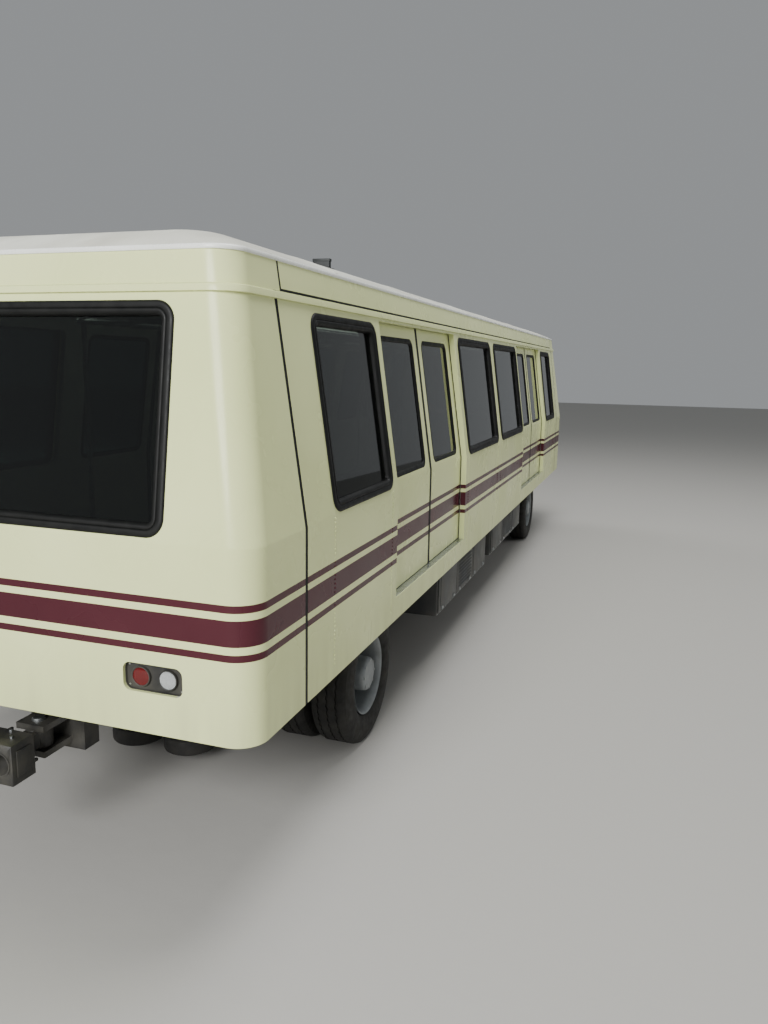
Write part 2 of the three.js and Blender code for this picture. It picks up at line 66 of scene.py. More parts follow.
def finishMesh(mesh, smooth=35, fixNormals=True):
    work = bmesh.new()
    work.from_mesh(mesh)
    bmesh.ops.remove_doubles(work, verts=work.verts, dist=1e-6)
    if fixNormals:
        bmesh.ops.recalc_face_normals(work, faces=work.faces)
    work.to_mesh(mesh)
    work.free()
    return shade(mesh, smooth)


def meshFrom(verts, faces, smooth=35, fixNormals=True):
    mesh = bpy.data.meshes.new("part")
    mesh.from_pydata([tuple(v) for v in verts], [], faces)
    return finishMesh(mesh, smooth, fixNormals)


def joinMeshes(meshes):
    work = bmesh.new()
    for mesh in meshes:
        work.from_mesh(mesh)
    whole = bpy.data.meshes.new("whole")
    work.to_mesh(whole)
    work.free()
    return whole


def moved(mesh, matrix):
    copy = mesh.copy()
    copy.transform(matrix)
    if matrix.determinant() < 0:
        copy.flip_normals()
    return copy


def addObject(name, data):
    thing = bpy.data.objects.new(name, data)
    scene.collection.objects.link(thing)
    return thing


def addPiece(name, mesh, material, onBody, replaced=()):
    mesh.name = name
    mesh.materials.clear()
    mesh.materials.append(material)
    piece = addObject(name, mesh)
    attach(piece, onBody)
    if replaced:
        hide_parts(*replaced)


def takeMesh(host):
    # the mesh of an object with its modifiers applied; they and the object go
    graph = bpy.context.evaluated_depsgraph_get()
    result = bpy.data.meshes.new_from_object(host.evaluated_get(graph))
    host.modifiers.clear()
    bpy.data.objects.remove(host)
    return result


def applied(mesh, *modifiers):
    # (type, settings) pairs, applied in turn
    host = addObject("host", mesh)
    for kind, settings in modifiers:
        modifier = host.modifiers.new(kind, kind)
        for key, value in settings.items():
            setattr(modifier, key, value)
    return takeMesh(host)


def carve(mesh, cutters):
    tools = [addObject("cutter", cutter) for cutter in cutters]
    result = applied(mesh, *(("BOOLEAN", {"operation": "DIFFERENCE", "solver": "EXACT", "object": tool})
                             for tool in tools))
    for tool in tools:
        bpy.data.objects.remove(tool)
    return result


def eased(mesh, width, limit, smooth, **weighting):
    # edges sharper than the limit are rounded, and the flats keep their own shading
    mesh = applied(mesh, ("BEVEL", {"width": width, "segments": 2, "limit_method": "ANGLE",
                                    "angle_limit": math.radians(limit)}))
    return applied(finishMesh(mesh, smooth), ("WEIGHTED_NORMAL", {"keep_sharp": True, **weighting}))


def softened(name, width):
    # a solid of the frame with its edges eased, as cast, pressed or sprayed metal has them
    work = bmesh.new()
    work.from_mesh(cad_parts[name].data)
    bmesh.ops.remove_doubles(work, verts=work.verts, dist=1e-5)
    bmesh.ops.dissolve_limit(work, angle_limit=math.radians(0.5), verts=work.verts, edges=work.edges)
    mesh = bpy.data.meshes.new(name)
    work.to_mesh(mesh)
    work.free()
    return eased(mesh, width, 30, 32)


def loft(loops, smooth=35, closed=False):
    # quads between rings of equal length; the row of rings is capped, or closed on itself
    count = len(loops[0])
    faces = []
    for level in range(len(loops) if closed else len(loops) - 1):
        low, high = level * count, (level + 1) % len(loops) * count
        for i in range(count):
            j = (i + 1) % count
            faces.append((low + i, low + j, high + j, high + i))
    if not closed:
        faces.append(tuple(reversed(range(count))))
        faces.append(tuple(range((len(loops) - 1) * count, len(loops) * count)))
    return meshFrom([point for loop in loops for point in loop], faces, smooth)


def lathe(profile, segments=64, smooth=35, closed=False):
    # profile of (radius, height) turned about Z
    turns = [(math.cos(a), math.sin(a)) for a in (2 * math.pi * i / segments for i in range(segments))]
    return loft([[(radius * c, radius * s, height) for c, s in turns] for radius, height in profile],
                smooth, closed)


def boxMesh(low, high, bevel=0.0, segments=2):
    low, high = Vector(low), Vector(high)
    work = bmesh.new()
    bmesh.ops.create_cube(work, size=1)
    bmesh.ops.scale(work, vec=high - low, verts=work.verts)
    bmesh.ops.translate(work, vec=(low + high) / 2, verts=work.verts)
    if bevel:
        bmesh.ops.bevel(work, geom=work.edges[:], offset=bevel, segments=segments, profile=0.6,
                        affect="EDGES")
    mesh = bpy.data.meshes.new("block")
    work.to_mesh(mesh)
    work.free()
    return finishMesh(mesh, fixNormals=False)


def sideBox(sign, x0, x1, near, far, z0, z1, bevel=0.0):
    ys = sorted((sign * near, sign * far))
    return boxMesh((min(x0, x1), ys[0], z0), (max(x0, x1), ys[1], z1), bevel)


def skinY(z, depth=0.0):
    crease = body["crease"] - depth * math.tan(body["lean"] / 2)
    return body["halfWidth"] - depth - max(0.0, z - crease) * math.tan(body["lean"])


def roofZ(inset):
    u = (inset - body["gutterInset"]) / (body["roofInset"] - body["gutterInset"])
    u = min(1.0, max(0.0, u))
    return body["gutter"] + (body["roofTop"] - body["gutter"]) * (1 - (1 - u) ** 1.74)


def roofInsets(steps=12):
    # distances in from the roof edge, closer together where the roof turns
    return [body["gutterInset"] + (body["roofInset"] - body["gutterInset"]) * (i / steps) ** 1.3
            for i in range(steps + 1)]


def roofHeight(x, y):
    # the roof slopes down to the sides and both ends, round a corner of the same radius as the body's
    fromSide = skinY(body["roofEdge"]) - abs(y)
    fromEnd = skinY(body["roofEdge"]) + body["halfLength"] - body["halfWidth"] - abs(x)
    apart = fromEnd - fromSide
    if abs(apart) >= body["corner"]:
        return roofZ(min(fromSide, fromEnd))
    return roofZ((fromSide + fromEnd + math.sqrt(2 * body["corner"] ** 2 - apart ** 2)) / 2 - body["corner"])


def endOutline(z, depth=0.0, inset=0.0, height=None, steps=20):
    # round the front end from left to right, at the skin's size for z and drawn at the height
    halfY = skinY(z, depth) - inset
    halfX = halfY + body["halfLength"] - body["halfWidth"]
    radius = body["corner"] - depth
    height = z if height is None else height
    arc = [(halfX - radius + radius * math.sin(a), halfY - radius + radius * math.cos(a))
           for a in (math.pi / 2 * i / steps for i in range(steps + 1))]
    return [(x, y, height) for x, y in arc] + [(x, -y, height) for x, y in reversed(arc)]


def capOutline(start, *place):
    # the same outline drawn back along both sides to a joint
    outline = endOutline(*place)
    (y, height), (lastY, lastHeight) = outline[0][1:], outline[-1][1:]
    return [(start, y, height)] + outline + [(start, lastY, lastHeight)]


def wholeOutline(z, inset, height=None):
    front = endOutline(z, 0.0, inset, height, 16)
    return front + [(-x, -y, level) for x, y, level in front]


def roundedOutline(size, inset, steps=12):
    # points of a rounded rectangle (x0, x1, y0, y1, radius), inset from its edge
    x0, x1, y0, y1, radius = size
    r = radius - inset
    points = []
    for cx, cy, start in ((x1 - radius, y0 + radius, -90), (x1 - radius, y1 - radius, 0),
                          (x0 + radius, y1 - radius, 90), (x0 + radius, y0 + radius, 180)):
        for i in range(steps + 1):
            a = math.radians(start + 90 * i / steps)
            points.append((cx + r * math.cos(a), cy + r * math.sin(a)))
    return points


def sideFrame(sign):
    s, c = math.sin(body["lean"]), math.cos(body["lean"])
    return Matrix(((-sign, 0, 0, 0), (0, -sign * s, sign * c, sign * body["halfWidth"]),
                   (0, c, s, body["crease"]), (0, 0, 0, 1)))


def endFrame(sign):
    s, c = math.sin(body["lean"]), math.cos(body["lean"])
    return Matrix(((0, -sign * s, sign * c, sign * body["halfLength"]), (sign, 0, 0, 0),
                   (0, c, s, body["crease"]), (0, 0, 0, 1)))


def plateSize(x0, x1, low, high, radius):
    # a rounded rectangle on the leaning wall, from heights over the running surface
    c = math.cos(body["lean"])
    return (x0, x1, (low - body["crease"]) / c, (high - body["crease"]) / c, radius)


def plateLoop(matrix, size, inset, depth, steps=12):
    return [matrix @ Vector((x, y, -depth)) for x, y in roundedOutline(size, inset, steps)]


def addNode(tree, kind, settings=None, inputs=None, into=None, out=0):
    node = tree.nodes.new(kind)
    for key, value in (settings or {}).items():
        setattr(node, key, value)
    for key, value in (inputs or {}).items():
        if isinstance(value, bpy.types.NodeSocket):
            tree.links.new(value, node.inputs[key])
        else:
            node.inputs[key].default_value = value
    if into:
        tree.links.new(node.outputs[out], into)
    return node


shaderSockets = {
    "colour": "Base Color", "rough": "Roughness", "metal": "Metallic", "ior": "IOR", "coat": "Coat Weight",
    "coatRough": "Coat Roughness", "transmission": "Transmission Weight", "specular": "Specular IOR Level",
    "glow": "Emission Color", "glowStrength": "Emission Strength",
}


def newMaterial(name, **values):
    material = bpy.data.materials.new(name)
    material.use_nodes = True
    tree = material.node_tree
    tree.nodes.clear()
    shader = addNode(tree, "ShaderNodeBsdfPrincipled",
                     inputs={shaderSockets[key]: value for key, value in values.items()})
    addNode(tree, "ShaderNodeOutputMaterial", inputs={"Surface": shader.outputs[0]})
    return material, tree, shader, addNode(tree, "ShaderNodeTexCoord").outputs["Object"]


def patches(tree, place, size, detail, low, high, stretch=(1, 1, 1)):
    # cloudy patches between two values, size in millimetres
    turned = addNode(tree, "ShaderNodeMapping", inputs={"Vector": place, "Scale": stretch})
    noise = addNode(tree, "ShaderNodeTexNoise", inputs={
        "Vector": turned.outputs[0], "Scale": 1000 / size, "Detail": detail})
    spread = addNode(tree, "ShaderNodeMapRange", {"clamp": False}, {
        "Value": noise.outputs[0], "From Min": 0.3, "From Max": 0.7, "To Min": low, "To Max": high})
    return spread.outputs[0]


# camera at the eye height and place of the photograph, angles in degrees
view = {"eye": (-9.0, -3.06, 2.70), "yaw": 18.52, "pitch": 10.30, "roll": 1.07, "focalPixels": 800,
        "imageHeight": 1024, "sensor": 36, "clipEnd": 200}


def addCamera():
    yaw, pitch, roll = (math.radians(view[key]) for key in ("yaw", "pitch", "roll"))
    ahead = Vector((math.cos(yaw) * math.cos(pitch), math.sin(yaw) * math.cos(pitch), -math.sin(pitch)))
    right = Vector((math.sin(yaw), -math.cos(yaw), 0))
    up = right.cross(ahead)
    across = right * math.cos(roll) + up * math.sin(roll)
    upright = up * math.cos(roll) - right * math.sin(roll)
    data = bpy.data.cameras.new("camera")
    data.sensor_width = view["sensor"]
    data.lens = view["focalPixels"] / view["imageHeight"] * view["sensor"]
    data.clip_end = view["clipEnd"]
    camera = addObject("camera", data)
    rows = [(across[i], upright[i], -ahead[i], view["eye"][i]) for i in range(3)]
    camera.matrix_world = Matrix(rows + [(0, 0, 0, 1)])
    scene.camera = camera


addCamera()

studio = {"floorSize": 60, "floorColour": "#a9a7a2", "floorRough": 0.8, "stipple": 160,
          "worldColour": "#e9edf0", "worldStrength": 0.36,
          # soft discs as (place, aimed at, size, watts, seen in gloss): near end, side, far side, above
          "lights": (((-17, -1, 7), (-5, 0, 1.8), 6, 2500, True), ((6, -15, 7), (1, 0, 1.4), 9, 420, False),
                     ((11, 12, 8), (0, 0, 1.5), 9, 1300, False), ((0, -3, 16), (0, 0, 0), 8, 2000, True))}


def addStudio():
    # matt painted floor with a roller stipple
    material, tree, shader, place = newMaterial(
        "paleStudioFloor", colour=hexColour(studio["floorColour"]), rough=studio["floorRough"])
    addNode(tree, "ShaderNodeBump", inputs={
        "Height": patches(tree, place, studio["stipple"], 3, 0, 1), "Distance": 0.001},
        into=shader.inputs["Normal"])
    size = studio["floorSize"]
    floor = addObject("studioFloor", meshFrom(
        [(-size, -size, 0), (size, -size, 0), (size, size, 0), (-size, size, 0)], [(0, 1, 2, 3)],
        fixNormals=False))
    floor.data.materials.append(material)
    world = bpy.data.worlds.new("studio")
    world.use_nodes = True
    sky = world.node_tree.nodes["Background"]
    sky.inputs[0].default_value = hexColour(studio["worldColour"])
    sky.inputs[1].default_value = studio["worldStrength"]
    scene.world = world
    for place, target, size, power, glossy in studio["lights"]:
        data = bpy.data.lights.new("softDisc", "AREA")
        data.shape = "DISK"
        data.size = size
        data.energy = power
        light = addObject("softDisc", data)
        light.visible_glossy = glossy
        light.visible_camera = light.visible_transmission = False
        light.location = place
        light.rotation_euler = (Vector(target) - Vector(place)).to_track_quat("-Z", "Y").to_euler()


addStudio()
print("camera, floor and light placed")

finish = {
    "ivory": "#e0e6ab", "ivoryFaded": "#d6dda0", "maroon": "#40161f", "maroonFaded": "#4a1f28",
    "roof": "#d8d9cd", "roofDirt": "#a5a193", "lining": "#cfd0c4", "dust": "#8b8676",
    "bandEdges": ((1.3512, 1.3865), (1.4243, 1.5502), (1.5854, 1.6221)),  # heights over the running surface
    "endFrom": 5.36,  # beyond this the end wall counts as outside too
    "dustFrom": 1.3, "dustShare": 0.2,
    # millimetres
    "fadePatch": 800, "dustRuns": 110, "roofPatch": 290, "glossPatch": 400, "sheetWave": 600,
    "sprayGrain": 14,  # coarser than a real spray texture, so that it shows
}


def makePaint():
    # gloss enamel sprayed on aluminium sheet and moulded ends: wet look, slight waves, road film low down
    material, tree, shader, place = newMaterial(
        "sprayedGlossEnamel", rough=0.3, coat=0.06, coatRough=0.07, ior=1.48, specular=0.25)
    split = addNode(tree, "ShaderNodeSeparateXYZ", inputs={0: place}).outputs
    x, z = split[0], split[2]
    normal = place.node.outputs["Normal"]
    far = addNode(tree, "ShaderNodeMath", {"operation": "ABSOLUTE"}, {0: x})
    atEnd = addNode(tree, "ShaderNodeMath", {"operation": "GREATER_THAN"}, {
        0: far.outputs[0], 1: finish["endFrom"]})
    reach = addNode(tree, "ShaderNodeCombineXYZ", inputs={0: atEnd.outputs[0], 1: 1.0, 2: 0.0})
    level = addNode(tree, "ShaderNodeVectorMath", {"operation": "MULTIPLY"}, {0: normal, 1: reach.outputs[0]})
    facing = addNode(tree, "ShaderNodeVectorMath", {"operation": "DOT_PRODUCT"}, {
        0: level.outputs[0], 1: place}).outputs["Value"]
    tilt = addNode(tree, "ShaderNodeSeparateXYZ", inputs={0: normal}).outputs[2]
    # bands lie on what faces out of the car; the lining tone is on what faces in, and on the ceiling
    tests = {}
    for name, value, operation, limit in (
            ("outside", facing, "GREATER_THAN", -0.01), ("inward", facing, "LESS_THAN", -0.05),
            ("down", tilt, "LESS_THAN", -0.7), ("high", z, "GREATER_THAN", body["header"]),
            ("onRoof", z, "GREATER_THAN", body["gutter"] + 0.0005)):
        tests[name] = addNode(tree, "ShaderNodeMath", {"operation": operation}, {
            0: value, 1: limit}).outputs[0]
    ceiling = addNode(tree, "ShaderNodeMath", {"operation": "MULTIPLY"}, {0: tests["down"], 1: tests["high"]})
    inside = addNode(tree, "ShaderNodeMath", {"operation": "MAXIMUM"}, {
        0: tests["inward"], 1: ceiling.outputs[0]})
    total = 0.0
    for low, high in finish["bandEdges"]:
        over = addNode(tree, "ShaderNodeMath", {"operation": "GREATER_THAN"}, {0: z, 1: low})
        under = addNode(tree, "ShaderNodeMath", {"operation": "LESS_THAN"}, {0: z, 1: high})
        total = addNode(tree, "ShaderNodeMath", {"operation": "MULTIPLY_ADD"}, {
            0: over.outputs[0], 1: under.outputs[0], 2: total}).outputs[0]
    band = addNode(tree, "ShaderNodeMath", {"operation": "MULTIPLY"}, {0: total, 1: tests["outside"]})
    runs = patches(tree, place, finish["dustRuns"], 3, 0.0, 1.0, (1, 1, 0.12))
    low = addNode(tree, "ShaderNodeMapRange", inputs={
        "Value": z, "From Min": finish["dustFrom"], "From Max": body["sill"], "To Min": 0.0,
        "To Max": finish["dustShare"]})
    film = addNode(tree, "ShaderNodeMath", {"operation": "MULTIPLY"}, {0: runs, 1: low.outputs[0]})
    faded = patches(tree, place, finish["fadePatch"], 4, 0.0, 1.0)
    dirty = patches(tree, place, finish["roofPatch"], 6, 0.0, 0.5, (0.35, 1, 1))
    ivory, maroon, roofTone = (
        addNode(tree, "ShaderNodeMix", {"data_type": "RGBA", "clamp_factor": False}, {
            0: share, 6: hexColour(finish[clean]), 7: hexColour(finish[worn])}).outputs[2]
        for share, clean, worn in ((faded, "ivory", "ivoryFaded"), (faded, "maroon", "maroonFaded"),
                                   (dirty, "roof", "roofDirt")))
    colour = ivory
    for share, layer in ((band.outputs[0], maroon), (tests["onRoof"], roofTone),
                         (film.outputs[0], hexColour(finish["dust"])),
                         (inside.outputs[0], hexColour(finish["lining"]))):
        colour = addNode(tree, "ShaderNodeMix", {"data_type": "RGBA"}, {
            0: share, 6: colour, 7: layer}).outputs[2]
    tree.links.new(colour, shader.inputs["Base Color"])
    dull = addNode(tree, "ShaderNodeMath", {"operation": "MULTIPLY_ADD"}, {
        0: tests["onRoof"], 1: 0.2, 2: patches(tree, place, finish["glossPatch"], 3, 0.2, 0.32)})
    addNode(tree, "ShaderNodeMath", {"operation": "ADD"}, {0: dull.outputs[0], 1: film.outputs[0]},
            shader.inputs["Roughness"])
    waves = addNode(tree, "ShaderNodeBump", inputs={
        "Height": patches(tree, place, finish["sheetWave"], 2, 0, 1), "Distance": 0.004, "Strength": 0.35})
    addNode(tree, "ShaderNodeBump", inputs={
        "Height": patches(tree, place, finish["sprayGrain"], 0, 0, 1), "Distance": 0.00005, "Strength": 0.3,
        "Normal": waves.outputs[0]}, into=shader.inputs["Normal"])
    return material


def makeMottled(name, light, dark, share, patch, rough, grain, depth, stretch=(1, 1, 1), **values):
    # two close tones in patches, uneven gloss and a fine grain; patch and grain in millimetres
    material, tree, shader, place = newMaterial(name, rough=rough, **values)
    addNode(tree, "ShaderNodeMix", {"data_type": "RGBA", "clamp_factor": False}, {
        0: patches(tree, place, patch, 5, 0.0, share), 6: hexColour(light), 7: hexColour(dark)},
        shader.inputs["Base Color"], 2)
    uneven = patches(tree, place, patch / 2, 3, 0.85 * rough, 1.2 * rough)
    lines = patches(tree, place, grain, 3, 0, 1, stretch)
    addNode(tree, "ShaderNodeMath", {"operation": "MULTIPLY_ADD"}, {0: lines, 1: 0.05, 2: uneven},
            shader.inputs["Roughness"])
    addNode(tree, "ShaderNodeBump", inputs={"Height": lines, "Distance": depth, "Strength": 0.5},
            into=shader.inputs["Normal"])
    return material


def makeGlass():
    # grey-green tinted float glass: flat and glossy, a faint film of dust takes the edge off reflections
    material, tree, shader, place = newMaterial(
        "tintedSafetyGlass", colour=hexColour("#4a5654"), ior=1.5, transmission=1.0)
    tree.links.new(patches(tree, place, 300, 2, 0.015, 0.035), shader.inputs["Roughness"])
    return material


def makeFloorCover():
    # speckled rubber sheet: 2 mm flecks and round studs of 21 mm, 29 mm apart, that catch light
    material, tree, shader, place = newMaterial("studdedRubberFloor", rough=0.6, ior=1.5)
    marks = []
    for scale, randomness, size in ((160, 1, 0.16), (34, 0, 0.36)):
        cells = addNode(tree, "ShaderNodeTexVoronoi", inputs={
            "Vector": place, "Scale": scale, "Randomness": randomness})
        marks.append(addNode(tree, "ShaderNodeMath", {"operation": "LESS_THAN"}, {
            0: cells.outputs["Distance"], 1: size}).outputs[0])
    fleck, stud = marks
    addNode(tree, "ShaderNodeMix", {"data_type": "RGBA"}, {
        0: fleck, 6: hexColour("#4b4e52"), 7: hexColour("#83878c")}, shader.inputs["Base Color"], 2)
    addNode(tree, "ShaderNodeBump", inputs={"Height": stud, "Distance": 0.0008, "Strength": 0.6},
            into=shader.inputs["Normal"])
    return material


def makeLens(name, code, rough):
    # moulded polycarbonate: clear, hard gloss, with flutes 12 mm apart
    material, tree, shader, place = newMaterial(
        name, colour=hexColour(code), rough=rough, ior=1.58, transmission=0.75)
    wave = addNode(tree, "ShaderNodeTexWave", {"bands_direction": "Y"}, {"Vector": place, "Scale": 26})
    addNode(tree, "ShaderNodeBump", inputs={
        "Height": wave.outputs["Fac"], "Distance": 0.0012, "Strength": 0.6}, into=shader.inputs["Normal"])
    return material


paint = makePaint()
# satin chassis enamel, brushed on: dull black under blotches of road dust
chassisPaint = makeMottled("satinChassisEnamel", "#17181a", finish["dust"], 0.2, 140, 0.5, 4, 0.0003, ior=1.5)
# powder coating, sprayed dry and baked: an even dark satin
boxPaint = makeMottled("powderCoatedBlack", "#121516", "#2c3132", 0.5, 120, 0.5, 3, 0.0002, ior=1.5)
# satin enamel on pressed steel: dark grey, filmed with dust
casePaint = makeMottled("satinCaseEnamel", "#303336", finish["dust"], 0.22, 260, 0.46, 4, 0.0003, ior=1.5)
# extruded rubber: matt black, greyed a little by weather
gasketRubber = makeMottled("extrudedRubber", "#0b0c0c", "#55564f", 0.05, 90, 0.5, 3, 0.0002, ior=1.5,
                           specular=0.25)
# vulcanised tyre rubber: dark, chalky, with a fine mould grain
tyreRubber = makeMottled("vulcanisedTyreRubber", "#171716", "#5e5a50", 0.16, 70, 0.76, 4, 0.0003, ior=1.5)
glass = makeGlass()
# sprayed steel rims: half metallic grey with brake dust
rimSteel = makeMottled("paintedRimSteel", "#8e9395", "#5a5a57", 0.45, 120, 0.42, 5, 0.0002, metal=0.35)
# stainless tube, brushed along its length
railSteel = makeMottled("brushedStainlessTube", "#c9cccd", "#aeb2b3", 0.15, 400, 0.24, 3, 0.00004,
                        (0.05, 1, 1), metal=1)
# bolts, nuts and latches: dull plating with an even grain
plateSteel = makeMottled("zincPlatedSteel", "#a9adae", "#8b8c88", 0.3, 180, 0.38, 3, 0.0001, metal=1)
# white gloss enamel on the rolled gutter
gutterPaint = makeMottled("whiteGutterEnamel", "#eef0ea", "#c9cbc2", 0.3, 250, 0.24, 11, 0.0001, ior=1.5)
floorCover = makeFloorCover()
# moulded glass-fibre shells with a leather-like grain of 3 mm
seatPlastic = makeMottled("mouldedSeatShell", "#4c5f70", "#3b4b5a", 0.3, 250, 0.38, 3, 0.0002, ior=1.46)
liningPlastic = makeMottled("mouldedLiningPanel", finish["lining"], "#b5b6a9", 0.3, 300, 0.45, 3, 0.0002,
                            ior=1.46)
clearLens = makeLens("clearLampLens", "#f2f5f5", 0.05)
redLens = makeLens("redLampLens", "#9c0f12", 0.08)
# opal acrylic, moulded: milky and faintly lit from behind
diffuser = makeMottled("opalAcrylicCover", "#f7f8f2", "#e6e7df", 0.3, 200, 0.35, 7, 0.0002,
                       glow=hexColour("#fff8e6"), glowStrength=2.2)
print("finishes made")


def newTree(name, sockets):
    tree = bpy.data.node_groups.new(name, "GeometryNodeTree")
    tree.interface.new_socket("Geometry", in_out="OUTPUT", socket_type="NodeSocketGeometry")
    for socketName, kind in sockets + (("Material", "Material"),):
        tree.interface.new_socket(socketName, in_out="INPUT", socket_type="NodeSocket" + kind)
    return tree, addNode(tree, "NodeGroupInput").outputs


def endTree(tree, given, inputs):
    # a copy at every point, as one solid in its material
    copies = addNode(tree, "GeometryNodeInstanceOnPoints", inputs=inputs)
    solid = addNode(tree, "GeometryNodeRealizeInstances", inputs={0: copies.outputs[0]})
    finished = addNode(tree, "GeometryNodeSetMaterial", inputs={
        "Geometry": solid.outputs[0], "Material": given["Material"]})
    addNode(tree, "NodeGroupOutput", inputs={0: finished.outputs[0]})
    return tree


def makeRivetTree():
    # one column of domed rivets
    tree, given = newTree("rivetColumn", (
        ("Count", "Int"), ("Start", "Vector"), ("Step", "Vector"), ("Facing", "Vector"), ("Radius", "Float"),
        ("Rise", "Float")))
    line = addNode(tree, "GeometryNodeMeshLine", {"mode": "OFFSET"}, {
        "Count": given["Count"], "Start Location": given["Start"], "Offset": given["Step"]})
    dome = addNode(tree, "GeometryNodeMeshUVSphere", inputs={"Segments": 10, "Rings": 6, "Radius": 1.0})
    size = addNode(tree, "ShaderNodeCombineXYZ", inputs={
        0: given["Radius"], 1: given["Radius"], 2: given["Rise"]})
    turn = addNode(tree, "FunctionNodeAlignRotationToVector", {"axis": "Z"}, {"Vector": given["Facing"]})
    return endTree(tree, given, {"Points": line.outputs[0], "Instance": dome.outputs[0],
                                 "Rotation": turn.outputs[0], "Scale": size.outputs[0]})


def makeBoltTree():
    # hexagon bolt heads on a circle about Z
    tree, given = newTree("boltCircle", (
        ("Count", "Int"), ("Circle", "Float"), ("Radius", "Float"), ("Height", "Float")))
    circle = addNode(tree, "GeometryNodeMeshCircle", inputs={
        "Vertices": given["Count"], "Radius": given["Circle"]})
    head = addNode(tree, "GeometryNodeMeshCylinder", inputs={
        "Vertices": 6, "Radius": given["Radius"], "Depth": given["Height"]})
    return endTree(tree, given, {"Points": circle.outputs[0], "Instance": head.outputs[0]})


def makeSlatTree():
    # equal slats in a row, such as louvres and ribs
    tree, given = newTree("slatRow", (
        ("Count", "Int"), ("Start", "Vector"), ("Step", "Vector"), ("Size", "Vector"), ("Turn", "Vector")))
    line = addNode(tree, "GeometryNodeMeshLine", {"mode": "OFFSET"}, {
        "Count": given["Count"], "Start Location": given["Start"], "Offset": given["Step"]})
    slat = addNode(tree, "GeometryNodeMeshCube", inputs={"Size": given["Size"]})
    return endTree(tree, given, {"Points": line.outputs[0], "Instance": slat.outputs[0],
                                 "Rotation": given["Turn"]})


def runTree(tree, smooth=35, **values):
    host = addObject("host", bpy.data.meshes.new("host"))
    modifier = host.modifiers.new("nodes", "NODES")
    modifier.node_group = tree
    for item in tree.interface.items_tree:
        if item.in_out == "INPUT":
            modifier[item.identifier] = values[item.name.lower()]
    return shade(takeMesh(host), smooth)


rivetTree = makeRivetTree()
boltTree = makeBoltTree()
slatTree = makeSlatTree()


def boltRing(count, circle, radius, height, z):
    # plated bolt heads, with z the middle of their height
    bolts = runTree(boltTree, count=count, circle=circle, radius=radius, height=height, material=plateSteel)
    return moved(bolts, Matrix.Translation((0, 0, z)))


halfTurn = Matrix.Rotation(math.pi, 4, "Z")


def placed(mesh, sign):
    # what is drawn at the front end, there or turned round to the rear one
    return mesh.copy() if sign > 0 else moved(mesh, halfTurn)


screen = {"halfWidth": 0.96, "low": 1.9, "high": 2.982, "radius": 0.095, "overlap": 0.028}
lamps = {
    "y": 0.88, "z": 1.21, "spacing": 0.15, "depth": 0.03, "halfWidth": 0.165, "halfHeight": 0.072,
    "corner": 0.04, "screwY": 0.145, "screwZ": 0.052, "recess": 0.0022,
    # outline of the plate as (height over the pocket's floor, inset)
    "plate": ((0.0002, 0.0005), (0.012, 0.0005), (0.012, 0.0025), (0.0022, 0.006)),
    # sections as (radius, height over the plate)
    "bezel": ((0.0448, 0.001), (0.052, 0.0006), (0.052, 0.0118), (0.0506, 0.0150), (0.0476, 0.0158),
              (0.0452, 0.0140)),
    "bowl": ((0.0, 0.0012), (0.018, 0.0022), (0.034, 0.0056), (0.0444, 0.0104), (0.0446, 0.0010),
             (0.0, 0.0006)),
    "lens": ((0.0, 0.0108), (0.02, 0.0108), (0.0446, 0.0104), (0.0446, 0.0122), (0.036, 0.0144),
             (0.02, 0.0156), (0.0, 0.016)),
    "screw": ((0.0, 0.0), (0.0055, 0.0), (0.005, 0.0018), (0.0, 0.0026)),
}
# the loft starts behind every corner of the roof and is cut off at the joints
endCap = {"loftBack": 0.35, "creaseSoft": 0.008, "edge": 0.002, "edgeLimit": 38, "cutY": 1.6, "cutLow": 0.8,
          "cutHigh": 3.5}


def screenSize():
    half = screen["halfWidth"]
    return plateSize(-half, half, screen["low"], screen["high"], screen["radius"])


def lampPlate(across, inset):
    # outline of one lamp plate in the end wall, as (y, z)
    y, z = across * lamps["y"], lamps["z"]
    return roundedOutline((y - lamps["halfWidth"], y + lamps["halfWidth"], z - lamps["halfHeight"],
                           z + lamps["halfHeight"], lamps["corner"]), inset, 8)


def makeCap():
    start = body["coveJoint"] + body["coveGap"] / 2
    back = start - endCap["loftBack"]
    crease, soft, wall, top = body["crease"], endCap["creaseSoft"], body["wall"], body["roofEdge"]
    loops = [capOutline(back, z) for z in (body["sill"], crease - soft, crease + soft, body["header"], top)]
    outer = loft(loops + [capOutline(back, top, 0, inset, roofZ(inset)) for inset in roofInsets()])
    bend = crease - wall * math.tan(body["lean"] / 2)
    inner = loft([capOutline(start - 0.1, z, wall, 0, height) for z, height in (
        (body["sill"], body["sill"] - 0.1), (bend, bend), (body["ceiling"], body["ceiling"]))])
    hole = loft([plateLoop(endFrame(1), screenSize(), screen["overlap"], depth) for depth in (-0.1, 0.12)])
    cutters = [inner, hole]
    for x0, x1, high in ((back, start, endCap["cutHigh"]),
                         (start, body["joint"] + body["jointGap"], body["header"])):
        cutters.append(boxMesh((x0 - 0.05, -endCap["cutY"], endCap["cutLow"]), (x1, endCap["cutY"], high)))
    pocket = (body["halfLength"] - lamps["depth"], body["halfLength"] + 0.05)
    for across in sides.values():
        cutters.append(loft([[(x, y, z) for y, z in lampPlate(across, 0)] for x in pocket]))
    limit = endCap["edgeLimit"]
    return eased(carve(outer, cutters), endCap["edge"], limit, limit, weight=80)


capMesh = makeCap()
for end, sign in ends.items():
    addPiece(f"mouldedCap_{end}", placed(capMesh, sign), paint, "car_body",
             (f"end_cap_{end}",))
print("end caps made")


